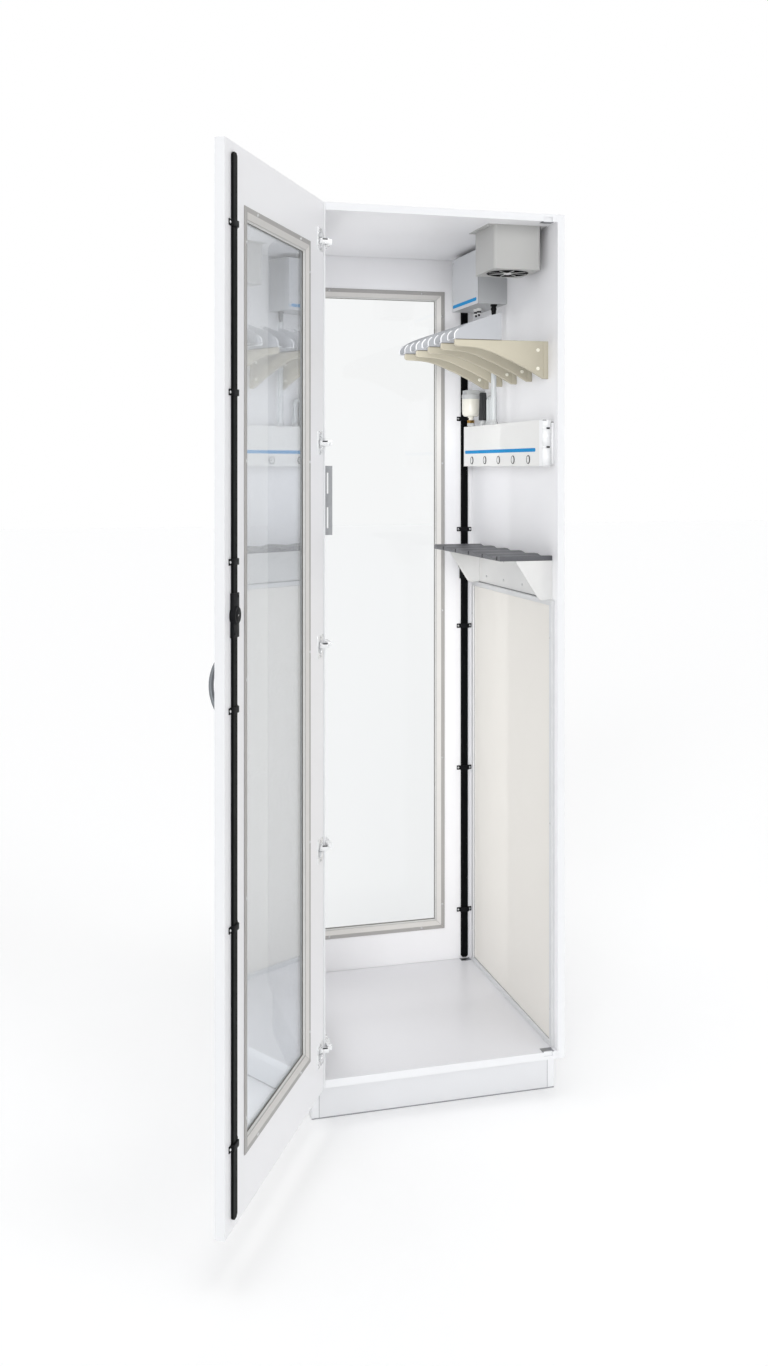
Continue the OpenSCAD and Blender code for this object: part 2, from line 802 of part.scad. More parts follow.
// Cylinder core with its key slot outside and the pinion inside, as one turning piece
module lock_core() {
    color("#b4b6b8") translate([bar_s, 0, lock_z]) {
        difference() {
            translate([0, -0.4, 0]) rotate([90, 0, 0]) cylinder(d = core_d, h = door_t + housing_flange_t - 0.4);
            translate([-key_slot[0] / 2, -door_t - housing_flange_t - 1, -key_slot[1] / 2])
                cube([key_slot[0], key_slot[2] + 1, key_slot[1]]);
        }
        translate([0, bar_lift + bar_t, 0]) rotate([90, 0, 0]) linear_extrude(bar_t) pinion_outline();
        translate([0, -0.5, 0]) rotate([-90, 0, 0]) cylinder(d = stub_d, h = boss_h - 2 + 0.3);
    }
}

// ---- handle ----

module handle() {
    bow_r = (pow(handle_span / 2, 2) + pow(handle_rise, 2)) / (2 * handle_rise);
    color("#8d9093") translate([bar_s, -door_t, handle_z])
        difference() {
            translate([0, bow_r - handle_rise, 0]) rotate([0, 90, 0]) rotate([0, 0, 180])
                rotate_extrude($fn = 120)
                    translate([bow_r - handle_t, -handle_w / 2])
                        rounded_rect([handle_t, handle_w], 2.4);
            block([-handle_w, 0, -3 * bow_r], [handle_w, 3 * bow_r, 3 * bow_r]);
        }
}

module rounded_rect(size, r) {
    translate([r, 0]) square([size[0] - 2 * r, size[1]]);
    translate([0, r]) square([size[0], size[1] - 2 * r]);
    for (x = [r, size[0] - r], y = [r, size[1] - r]) translate([x, y]) circle(r, $fn = 24);
}

// ---- fan unit ----

// One opening of the grille: a sector of a ring, inside two spokes
module grille_opening() {
    angle = 360 / grille_count;
    intersection() {
        difference() {
            circle(d = grille_d, $fn = 72);
            circle(d = grille_hub_d, $fn = 48);
        }
        rotate(angle / 2) translate([grille_spoke / 2 / sin(angle / 2), 0])
            polygon([[0, 0], grille_d * [cos(angle / 2), sin(angle / 2)], grille_d * [cos(angle / 2), -sin(angle / 2)]]);
    }
}

module fan_housing() {
    w = fan_box_w / 2;
    d = fan_box_d / 2;
    color("#bbbbb8") translate([fan_x, fan_y, 0]) {
        difference() {
            union() {
                translate([-w, -d, fan_box_z]) linear_extrude(fan_box_h)
                    rounded_rect([fan_box_w, fan_box_d], fan_bend_r);
                block([-w - fan_flange_w, -d, ceil_z - sheet_t], [w + fan_flange_w, d, ceil_z]);
            }
            translate([-w + sheet_t, -d + sheet_t, fan_box_z + sheet_t]) linear_extrude(fan_box_h)
                rounded_rect([fan_box_w - 2 * sheet_t, fan_box_d - 2 * sheet_t], fan_bend_r - sheet_t);
            for (k = [0:grille_count - 1])
                translate([0, 0, fan_box_z - 1]) rotate([0, 0, k * 360 / grille_count])
                    linear_extrude(sheet_t + 2) grille_opening();
        }
    }
}

module fan_frame() {
    color("#2b2c2e") translate([fan_x, fan_y, fan_box_z + sheet_t]) {
        difference() {
            block([-fan_size / 2, -fan_size / 2, 0], [fan_size / 2, fan_size / 2, fan_t]);
            translate([0, 0, -1]) cylinder(d = fan_duct_d, h = fan_t + 2, $fn = 72);
        }
        translate([0, 0, fan_t - spider_t]) {
            cylinder(d = fan_hub_d - 4, h = spider_t);
            for (a = [45, 135]) rotate([0, 0, a])
                block([-fan_duct_d / 2 - 1, -3, 0], [fan_duct_d / 2 + 1, 3, spider_t]);
        }
        translate([0, 0, 3]) cylinder(d = fan_shaft_d, h = fan_t - spider_t);
    }
}

module fan_rotor() {
    color("#1d1e20") translate([fan_x, fan_y, fan_box_z + sheet_t + 1.5])
        difference() {
            union() {
                cylinder(d = fan_hub_d, h = rotor_h);
                intersection() {
                    cylinder(d = rotor_d, h = rotor_h, $fn = 64);
                    for (k = [0:blade_count - 1]) rotate([0, 0, k * 360 / blade_count])
                        translate([rotor_d / 4, 0, rotor_h / 2]) rotate([blade_tilt, 0, 0])
                            cube([rotor_d / 2, rotor_h * 1.3, blade_t], center = true);
                }
            }
            translate([0, 0, 1.2]) cylinder(d = fan_shaft_d + 2 * fan_shaft_play, h = rotor_h);
        }
}

module fan_filter() {
    inset = sheet_t + 0.5;
    color("#f4f4ef") translate([fan_x - fan_box_w / 2 + inset, fan_y - fan_box_d / 2 + inset, ceil_z - filter_h])
        linear_extrude(filter_h)
            rounded_rect([fan_box_w - 2 * inset, fan_box_d - 2 * inset], fan_bend_r - sheet_t);
}

// ---- screws that hold sheet parts on the boards ----

shelf_screw_inset = 60;
shelf_screw_pitch = (shelf_len - 2 * shelf_screw_inset) / 3;
shelf_screw_ys = [for (k = [0:3]) shelf_y + shelf_screw_inset + k * shelf_screw_pitch];

module fixing_screws() {
    color("#d9dadb") {
        for (sx = [-1, 1], y = [-1, 1])
            translate([fan_x + sx * (fan_box_w / 2 + fan_flange_w / 2),
                       fan_y + y * (fan_box_d / 2 - fan_bolt_inset), ceil_z - sheet_t])
                mirror([0, 0, 1]) screw_head();
        for (sx = [-1, 1], y = [-1, 1])
            translate([fan_x + sx * (fan_size / 2 + 4), fan_y + y * (fan_size / 2 + 4), fan_box_z])
                mirror([0, 0, 1]) screw_head();
        for (y = shelf_screw_ys, z = [bracket_z + 20, bracket_z + bracket_h - 24])
            translate([wall_x - bracket_t, y, z])
                rotate([0, -90, 0]) screw_head();
    }
}

// ---- control box ----

module control_box_shell() {
    color("#a9abad") difference() {
        block([ctrl_x + ctrl_cover_t, ctrl_y, ctrl_z], [wall_x, ctrl_y + ctrl_len, ctrl_z + ctrl_h]);
        block([ctrl_x, ctrl_y + sheet_t, ctrl_z + sheet_t],
              [wall_x - sheet_t, ctrl_y + ctrl_len - sheet_t, ctrl_z + ctrl_h - sheet_t]);
        translate([gland_x, gland_y, ctrl_z - 1]) cylinder(d = gland_d - 4 + 0.4, h = sheet_t + 2);
    }
}

module control_box_cover() {
    color("#d6d8d9")
        block([ctrl_x, ctrl_y, ctrl_z], [ctrl_x + ctrl_cover_t, ctrl_y + ctrl_len, ctrl_z + ctrl_h]);
}

// Board on four posts with a supply block, a relay row and capacitors
can_z = 75;

module control_board() {
    board = [1.6, ctrl_len - 40, ctrl_h - 40];
    x = wall_x - sheet_t - 10;
    color("#2f6b3f") translate([x - board[0], ctrl_y + 20, ctrl_z + 20]) {
        cube(board);
        translate([-28, 14, 14]) cube([28 + eps, 60, 44]);
        for (k = [0:4]) translate([-16, 90 + k * 15, 12]) cube([16 + eps, 11, 26]);
        for (k = [0:1])
            translate([eps, 100 + k * 24, can_z]) rotate([0, -90, 0]) cylinder(d = 14, h = 24);
        for (y = [6, board[1] - 6], z = [6, board[2] - 6])
            translate([board[0] - eps, y, z]) rotate([0, 90, 0]) cylinder(d = 6, h = 10 + eps);
    }
}

module cable_gland() {
    color("#1c1d1f") translate([gland_x, gland_y, ctrl_z]) {
        translate([0, 0, -5]) cylinder(d = gland_d + 4, h = 5);
        translate([0, 0, -gland_h + 8]) cylinder(d = gland_d, h = gland_h - 8);
        translate([0, 0, -gland_h]) cylinder(d1 = gland_d - 3, d2 = gland_d, h = 8);
        cylinder(d = gland_d - 4, h = sheet_t + 4);
    }
}

// ---- scope cradles ----

// One cradle plate: x off the wall to the tip, y from its front face, z down from its top
module cradle() {
    outline = [for (p = cradle_lower_edge) [p[0] * cradle_reach, -p[1] * cradle_h]];
    difference() {
        union() {
            translate([0, cradle_t, 0]) rotate([90, 0, 0])
                linear_extrude(cradle_t) polygon(concat([[cradle_reach, 0], [0, 0]], outline));
            block([0, -cradle_foot[1], -cradle_h], [cradle_foot[0], eps, 0]);
        }
        for (z = cradle_screw_zs)
            translate([cradle_screw_x, -1, z]) rotate([-90, 0, 0]) cylinder(d = 4, h = cradle_t + 2);
    }
}

// Places a piece at every cradle: x off the wall, y from the plate's front face, z from its top
module each_cradle() {
    for (k = [0:cradle_count - 1])
        translate([wall_x, front_y + cradle_front + k * cradle_pitch, cradle_top])
            mirror([1, 0, 0]) children();
}

module scope_cradles() {
    color("#cbc5b0") each_cradle() cradle();
}

// Outline of a cheek: upright at the wall end, curving down to the tip
module cheek_outline() {
    nose = 12;
    polygon(concat(
        [[0, 0]],
        [for (t = [0:0.1:1]) [cheek_len * t, nose + (cheek_h - nose) * pow(1 - t, 0.6)]],
        [[cheek_len, 0]]));
}

// Holder bent from one sheet: a slotted base on the plate's top and a cheek on each side of it
module cradle_holder() {
    mid = cheek_span / 2;
    translate([cradle_reach - cheek_len, 0, 0]) {
        difference() {
            block([0, 0, 0], [cheek_len, cheek_span, cheek_t]);
            block([cheek_len - slot_len, mid - cradle_slot_w / 2, -1],
                  [cheek_len + 1, mid + cradle_slot_w / 2, cheek_t + 1]);
            translate([cheek_len - slot_len, mid, -1]) cylinder(d = cradle_slot_w, h = cheek_t + 2);
        }
        for (y = [cheek_t, cheek_span])
            translate([0, y, 0]) rotate([90, 0, 0]) linear_extrude(cheek_t) cheek_outline();
    }
}

module cradle_cheeks() {
    color("#b9babd") each_cradle() cradle_holder();
}

// Steel angle behind a plate: one leg on the wall, one on the plate
module cradle_brackets() {
    zs = bracket_leg_zs;
    color("#9fa1a4") each_cradle() difference() {
        union() {
            block([0, cradle_t, zs[0]], [bracket_leg, cradle_t + bracket_leg_t, zs[1]]);
            block([0, cradle_t, zs[0]], [bracket_leg_t, cradle_t + bracket_leg, zs[1]]);
        }
        for (z = cradle_screw_zs)
            translate([cradle_screw_x, 0, z]) rotate([-90, 0, 0]) cylinder(d = 4, h = cradle_t + bracket_leg_t + 1);
    }
}

// Screws through plate and angle, into the wall, and down through the holder's base
module cradle_screws() {
    grip = cradle_t + bracket_leg_t;
    color("#e3e0d4") each_cradle() {
        for (z = cradle_screw_zs) {
            translate([cradle_screw_x, 0, z]) rotate([90, 0, 0]) {
                cylinder(d1 = 9, d2 = 6, h = 2);
                translate([0, 0, -grip - 1.5]) cylinder(d = 3.8, h = grip + 1.5 + eps);
            }
            translate([bracket_leg_t, cradle_t + bracket_leg * 0.65, z]) rotate([0, 90, 0]) screw_head();
        }
        for (x = [18, cheek_len - 26])
            translate([cradle_reach - cheek_len + x, cradle_t / 2 + 1.5, cheek_t]) screw_head();
    }
}

// ---- manifold ----

module manifold_shell() {
    color("#e4e5e6") translate([mani_x, mani_y, mani_z]) difference() {
        block([mani_cover_t, 0, 0], [mani_depth, mani_len, mani_h]);
        block([0, sheet_t, sheet_t], [mani_depth - sheet_t, mani_len - sheet_t, mani_h - sheet_t]);
    }
}

module manifold_cover() {
    color("#eceded") difference() {
        block([mani_x, mani_y, mani_z], [mani_x + mani_cover_t, mani_y + mani_len, mani_z + mani_h]);
        for (k = [0:port_count - 1])
            translate([mani_x - 1, port_y0 + k * port_pitch, mani_z + port_z])
                rotate([0, 90, 0]) cylinder(d = port_d - 5, h = mani_cover_t + 2);
    }
}

// Bulkhead sockets: a flat ring outside the cover and a bored body inside
module air_ports() {
    color("#9a9c9e")
        for (k = [0:port_count - 1])
            translate([mani_x, port_y0 + k * port_pitch, mani_z + port_z]) rotate([0, 90, 0])
                difference() {
                    union() {
                        translate([0, 0, -port_ring_t]) cylinder(d = port_d, h = port_ring_t);
                        cylinder(d = port_d - 5.2, h = port_len - port_ring_t);
                    }
                    translate([0, 0, -port_ring_t - 1]) cylinder(d = port_bore, h = port_len - 4 + 1);
                }
}

// Supply rail with one valve over each port
module valve_block() {
    rail = [12, 14];
    rail_drop = 16;
    valve = [22, 38];
    reach = mani_depth - mani_cover_t - sheet_t - 2;
    color("#7d8083") translate([wall_x - sheet_t, mani_y, mani_z + mani_h - rail_drop - rail[1]]) {
        block([-rail[0], 10, 0], [0, mani_len - 10, rail[1]]);
        for (k = [0:port_count - 1])
            translate([0, port_y0 - mani_y + k * port_pitch, 0])
                block([-reach, -valve[0] / 2, -valve[1]], [0, valve[0] / 2, eps]);
    }
}

module manifold_end_bracket() {
    color("#ffffff") translate([mani_x, mani_y - end_bracket_d, mani_z])
        difference() {
            block([0, 0, 0], [mani_depth, end_bracket_d, mani_h]);
            block([sheet_t, sheet_t, -1], [mani_depth - sheet_t, end_bracket_d + 1, mani_h + 1]);
            for (z = end_slot_zs)
                block([mani_depth / 2 - end_slot[0] / 2, -1, z - end_slot[1] / 2],
                      [mani_depth / 2 + end_slot[0] / 2, sheet_t + 1, z + end_slot[1] / 2]);
        }
}

// ---- air filter, silencer and hose ----

module air_filter_head() {
    color("#dcdcd8") translate([bowl_x, bowl_y, bowl_z + bowl_h]) {
        block([-18, -18, 0], [18, 18, head_h]);
        block([0, -10, 1], [bowl_wall, 10, head_h - 1]);
    }
}

module air_filter_bowl() {
    color("#e6e5dc") translate([bowl_x, bowl_y, bowl_z]) {
        translate([0, 0, 10]) cylinder(d = bowl_d, h = bowl_h - 10, $fn = 64);
        translate([0, 0, 0]) cylinder(d1 = bowl_d - 10, d2 = bowl_d, h = 10 + eps, $fn = 64);
        translate([0, 0, -bowl_lift]) cylinder(d = 12, h = bowl_lift + eps);
    }
}

// Fluted silencer, wider at its foot, on a collar
module air_silencer() {
    flutes = 12;
    foot = 14;
    color("#2a2b2b") translate([silencer_x, silencer_y, mani_top]) {
        cylinder(d = 17, h = foot + eps);
        translate([0, 0, foot]) difference() {
            cylinder(d1 = silencer_d[0], d2 = silencer_d[1], h = silencer_h);
            for (k = [0:flutes - 1]) rotate([0, 0, k * 360 / flutes])
                translate([silencer_d[0] / 2, 0, 4])
                    rotate([0, -atan((silencer_d[0] - silencer_d[1]) / 2 / silencer_h), 0])
                        cylinder(d = 2.6, h = silencer_h - 8);
        }
    }
}

// Hose from the gland down the wall into the manifold's top
module drop_hose() {
    translate([gland_x, gland_y, mani_top])
        cylinder(d = hose_d, h = ctrl_z - gland_h - mani_top);
}

// Tube that leaves the manifold's top and arches back into it, with a collar at each end
module air_loop() {
    translate([loop_x, loop_y, mani_top]) {
        for (y = [0, 2 * loop_r]) translate([0, y, 0]) {
            cylinder(d = loop_d, h = loop_h - loop_r - loop_d / 2 + eps);
            cylinder(d = loop_d + 4, h = 12);
        }
        translate([0, loop_r, loop_h - loop_r - loop_d / 2]) rotate([0, -90, 0]) rotate([0, 0, -90])
            rotate_extrude(angle = 180) translate([loop_r, 0]) circle(d = loop_d);
    }
}

module air_tubes() {
    color("#c8cbcc") {
        drop_hose();
        air_loop();
    }
}

// ---- shelf ----

module scope_shelf() {
    groove_r = (pow(groove_w / 2, 2) + pow(groove_depth, 2)) / (2 * groove_depth);
    color("#55565a") difference() {
        block([shelf_x, shelf_y, shelf_top - shelf_t], [wall_x, shelf_y + shelf_len, shelf_top]);
        for (k = [0:groove_count - 1])
            translate([shelf_x - 1, shelf_y + (k + 0.5) * groove_pitch, shelf_top - groove_depth + groove_r])
                rotate([0, 90, 0]) cylinder(r = groove_r, h = shelf_w + 2, $fn = 96);
    }
}

// Gusset outline: x off the wall, y up from the bracket's foot
module gusset_outline() {
    corner = 12;
    slope_foot = gusset_foot - corner * 0.4;
    polygon(concat(
        [[0, 0], [slope_foot - corner, 0]],
        [for (a = [0:15:60]) [slope_foot - corner + corner * sin(a), corner - corner * cos(a)]],
        [[gusset_reach, bracket_h - 4], [gusset_reach, bracket_h], [0, bracket_h]]));
}

module shelf_bracket() {
    y1 = shelf_y + shelf_len;
    color("#e9eaeb") {
        block([wall_x - bracket_t, shelf_y, bracket_z], [wall_x, y1, bracket_z + bracket_h]);
        block([wall_x - gusset_reach, shelf_y, bracket_z + bracket_h - bracket_t],
              [wall_x, y1, bracket_z + bracket_h]);
        for (y = [shelf_y + bracket_t, y1])
            translate([wall_x, y, bracket_z]) mirror([1, 0, 0]) rotate([90, 0, 0])
                linear_extrude(bracket_t) gusset_outline();
    }
}

// ---- drip panel ----

module on_right_wall() {
    translate([wall_x, front_y + drip_margin, floor_z]) rotate([90, 0, -90]) mirror([1, 0, 0]) children();
}

module drip_panel_frame() {
    t = drip_frame_t;
    w = drip_frame_w;
    section = [[0, 0], [0, t - 1], [1, t], [w - 1, t], [w, t - 1], [w, t / 2], [w - 5, t / 2], [w - 5, 0]];
    color("#b9bbbc") on_right_wall() mitred_ring([drip_len, drip_h], section);
}

module drip_panel() {
    w = drip_frame_w - 5 + 0.2;
    color("#e9e5de")
        block([wall_x - drip_frame_t / 2 + 0.2, front_y + drip_margin + w, floor_z + w],
              [wall_x, front_y + drip_margin + drip_len - w, floor_z + drip_h - w]);
}

// ---- slotted bracket on the left wall ----

slotted_foot = 40;
slotted_t = 2;
slotted_slot_w = 4;
slotted_hole_d = 5;

slotted_top = plinth_h + hinge_zs[hinge_count - 2] - plate_span / 2 - slotted_lift;

module slotted_bracket() {
    mid = (slotted_w + slotted_t) / 2;
    color("#9b9da0") translate([-wall_x, front_y + slotted_front, slotted_top - slotted_h]) difference() {
        union() {
            cube([slotted_t, slotted_foot, slotted_h]);
            cube([slotted_w, slotted_t, slotted_h]);
        }
        for (z = [slotted_h / 4, slotted_h * 3 / 4])
            block([mid - slotted_slot_w / 2, -1, z - slotted_len / 2],
                  [mid + slotted_slot_w / 2, slotted_t + 1, z + slotted_len / 2]);
        for (z = [slotted_h / 4, slotted_h * 3 / 4])
            translate([-1, slotted_foot * 0.65, z]) rotate([0, 90, 0])
                cylinder(d = slotted_hole_d, h = slotted_t + 2);
    }
}

// ---- doors ----

module front_door_leaf() { front_leaf() door_leaf(); }
module front_window_glass() { front_leaf() window_glass(); }
module front_window_frame() { front_leaf() window_frame(); }
module front_window_seal() { front_leaf() window_seal(); }
module front_door_screws() { front_leaf() door_screws(); }
module front_hinge_cups() { front_leaf() hinge_cups(); }
module front_bar_guides() { front_leaf() bar_guides(); }
module front_lock_case() { front_leaf() lock_case(); }
module front_handle() { front_leaf() handle(); }
module front_lock_core() { front_leaf() lock_core(); }
module front_upper_bar() { front_leaf() upper_bar(); }
module front_lower_bar() { front_leaf() lower_bar(); }
module rear_door_leaf() { rear_leaf() door_leaf(); }
module rear_window_glass() { rear_leaf() window_glass(); }
module rear_window_frame() { rear_leaf() window_frame(); }
module rear_window_seal() { rear_leaf() window_seal(); }
module rear_door_screws() { rear_leaf() door_screws(); }
module rear_hinge_cups() { rear_leaf() hinge_cups(); }
module rear_bar_guides() { rear_leaf() bar_guides(); }
module rear_lock_case() { rear_leaf() lock_case(); }
module rear_handle() { rear_leaf() handle(); }
module rear_lock_core() { rear_leaf() lock_core(); }
module rear_upper_bar() { rear_leaf() upper_bar(); }
module rear_lower_bar() { rear_leaf() lower_bar(); }

side_panel_left();
side_panel_right();
top_panel();
floor_panel();
plinth_cross_boards();
plinth_side_boards();
front_hinge_arms();
rear_hinge_arms();
strike_plates();
fan_housing();
fan_frame();
fan_filter();
fan_rotor();
fixing_screws();
control_box_shell();
control_box_cover();
control_board();
cable_gland();
scope_cradles();
cradle_cheeks();
cradle_brackets();
cradle_screws();
manifold_shell();
manifold_cover();
air_ports();
valve_block();
manifold_end_bracket();
air_filter_head();
air_filter_bowl();
air_silencer();
air_tubes();
scope_shelf();
shelf_bracket();
drip_panel();
drip_panel_frame();
slotted_bracket();
front_door_leaf();
front_window_glass();
front_window_frame();
front_window_seal();
front_door_screws();
front_hinge_cups();
front_bar_guides();
front_lock_case();
front_handle();
front_lock_core();
front_upper_bar();
front_lower_bar();
rear_door_leaf();
rear_window_glass();
rear_window_frame();
rear_window_seal();
rear_door_screws();
rear_hinge_cups();
rear_bar_guides();
rear_lock_case();
rear_handle();
rear_lock_core();
rear_upper_bar();
rear_lower_bar();
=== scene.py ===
import json
import math

import bmesh
import bpy
from mathutils import Matrix, Vector


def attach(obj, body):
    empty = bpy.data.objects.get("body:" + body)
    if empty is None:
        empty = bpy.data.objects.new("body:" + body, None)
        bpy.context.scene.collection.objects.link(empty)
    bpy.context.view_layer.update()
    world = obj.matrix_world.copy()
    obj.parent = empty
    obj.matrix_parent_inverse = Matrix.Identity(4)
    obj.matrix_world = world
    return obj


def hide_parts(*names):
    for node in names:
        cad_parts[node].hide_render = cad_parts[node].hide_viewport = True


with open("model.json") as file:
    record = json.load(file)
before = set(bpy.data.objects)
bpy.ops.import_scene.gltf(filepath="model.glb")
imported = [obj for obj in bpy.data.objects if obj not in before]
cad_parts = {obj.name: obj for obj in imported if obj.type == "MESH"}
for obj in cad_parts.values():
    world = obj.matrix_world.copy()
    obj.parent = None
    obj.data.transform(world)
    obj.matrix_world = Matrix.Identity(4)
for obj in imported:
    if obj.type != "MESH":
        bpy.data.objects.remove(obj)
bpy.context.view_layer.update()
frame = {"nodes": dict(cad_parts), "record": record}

# ---------------------------------------------------------------- sizes, in metres, as in part.scad
MM = 0.001
W, D, H, BOARD, PLINTH = 0.600, 0.615, 2.000, 0.018, 0.100
SIDE_X, WALL_X = W / 2, W / 2 - BOARD
FRONT_Y, REAR_Y = -D / 2, D / 2
CEIL_Z, FLOOR_Z = PLINTH + H - BOARD, PLINTH + BOARD
PIN = Vector((-0.295, -0.3149, 0))
OPEN = math.radians(120)

# Frames of the two door leaves: x from the hinge edge, y into the cabinet from the inner face,
# z from the carcass bottom
LEAF = Matrix.Translation((-SIDE_X + 0.002, FRONT_Y - 0.002, PLINTH))
FRONT = Matrix.Translation(PIN) @ Matrix.Rotation(-OPEN, 4, "Z") @ Matrix.Translation(-PIN) @ LEAF
REAR = Matrix.Scale(-1, 4, (0, 1, 0)) @ LEAF
DOORS = {"front": FRONT, "rear": REAR}


# ---------------------------------------------------------------- materials
def srgb(hex_code):
    """A hex colour code, as linear RGBA."""
    parts = [int(hex_code[i:i + 2], 16) / 255 for i in (0, 2, 4)]
    return [p / 12.92 if p <= 0.04045 else ((p + 0.055) / 1.055) ** 2.4 for p in parts] + [1]


ROUGH_DRIFT = 0.06      # how far the roughness drifts to either side
BUMP_DEPTH = 0.0004     # depth of the fine bump, in metres


def material(name, colour, rough=0.4, metal=0.0, vary=0.04, grain=60, bump=0.05, bump_scale=900, spec=0.5,
             stretch=(1, 1, 1), coat=0.0, sheen=0.0):
    """A procedural material: colour and roughness drift with a soft noise, a fine noise gives the bump."""
    m = bpy.data.materials.new(name)
    m.use_nodes = True
    nt = m.node_tree
    b = nt.nodes["Principled BSDF"]
    col = srgb(colour)
    b.inputs["Metallic"].default_value = metal
    b.inputs["IOR"].default_value = 1.5
    b.inputs["Specular IOR Level"].default_value = spec
    b.inputs["Coat Weight"].default_value = coat
    b.inputs["Coat Roughness"].default_value = 0.08
    b.inputs["Sheen Weight"].default_value = sheen
    coord = nt.nodes.new("ShaderNodeTexCoord")
    mapping = nt.nodes.new("ShaderNodeMapping")
    mapping.inputs["Scale"].default_value = stretch
    nt.links.new(coord.outputs["Object"], mapping.inputs["Vector"])
    soft = nt.nodes.new("ShaderNodeTexNoise")
    soft.inputs["Scale"].default_value = grain
    soft.inputs["Detail"].default_value = 3
    nt.links.new(mapping.outputs["Vector"], soft.inputs["Vector"])
    ramp = nt.nodes.new("ShaderNodeMix")
    ramp.data_type = "RGBA"
    ramp.inputs["A"].default_value = [max(0, c * (1 - vary)) for c in col[:3]] + [1]
    ramp.inputs["B"].default_value = [min(1, c * (1 + vary)) for c in col[:3]] + [1]
    nt.links.new(soft.outputs["Fac"], ramp.inputs["Factor"])
    nt.links.new(ramp.outputs["Result"], b.inputs["Base Color"])
    rr = nt.nodes.new("ShaderNodeMapRange")
    rr.inputs["To Min"].default_value = max(0.02, rough - ROUGH_DRIFT)
    rr.inputs["To Max"].default_value = min(1, rough + ROUGH_DRIFT)
    nt.links.new(soft.outputs["Fac"], rr.inputs["Value"])
    nt.links.new(rr.outputs["Result"], b.inputs["Roughness"])
    if bump:
        fine = nt.nodes.new("ShaderNodeTexNoise")
        fine.inputs["Scale"].default_value = bump_scale
        fine.inputs["Detail"].default_value = 2
        nt.links.new(mapping.outputs["Vector"], fine.inputs["Vector"])
        bn = nt.nodes.new("ShaderNodeBump")
        bn.inputs["Strength"].default_value = bump
        bn.inputs["Distance"].default_value = BUMP_DEPTH
        nt.links.new(fine.outputs["Fac"], bn.inputs["Height"])
        nt.links.new(bn.outputs["Normal"], b.inputs["Normal"])
    return m


def glass_material(name, tint, edge_tint=0.84, mirror=0.015, falloff=2.5):
    """Thin clear glass: it tints more and mirrors more the flatter it is looked at."""
    m = bpy.data.materials.new(name)
    m.use_nodes = True
    nt = m.node_tree
    nt.nodes.clear()
    out = nt.nodes.new("ShaderNodeOutputMaterial")
    mix = nt.nodes.new("ShaderNodeMixShader")
    clear = nt.nodes.new("ShaderNodeBsdfTransparent")
    clear.inputs["Color"].default_value = tint
    gloss = nt.nodes.new("ShaderNodeBsdfGlossy")
    gloss.inputs["Roughness"].default_value = 0.015
    gloss.inputs["Color"].default_value = (0.93, 0.96, 1.0, 1)
    facing = nt.nodes.new("ShaderNodeLayerWeight")
    facing.inputs["Blend"].default_value = 0.5
    power = nt.nodes.new("ShaderNodeMath")
    power.operation = "POWER"
    power.inputs[1].default_value = falloff
    nt.links.new(facing.outputs["Facing"], power.inputs[0])
    depth = nt.nodes.new("ShaderNodeMix")
    depth.data_type = "RGBA"
    depth.inputs["A"].default_value = tint
    depth.inputs["B"].default_value = [c * edge_tint for c in tint[:3]] + [1]
    nt.links.new(facing.outputs["Facing"], depth.inputs["Factor"])
    nt.links.new(depth.outputs["Result"], clear.inputs["Color"])
    schlick = nt.nodes.new("ShaderNodeMapRange")
    schlick.inputs["To Min"].default_value = mirror
    schlick.inputs["To Max"].default_value = 1.0
    nt.links.new(power.outputs[0], schlick.inputs["Value"])
    nt.links.new(schlick.outputs["Result"], mix.inputs["Fac"])
    nt.links.new(clear.outputs["BSDF"], mix.inputs[1])
    nt.links.new(gloss.outputs["BSDF"], mix.inputs[2])
    nt.links.new(mix.outputs["Shader"], out.inputs["Surface"])
    return m


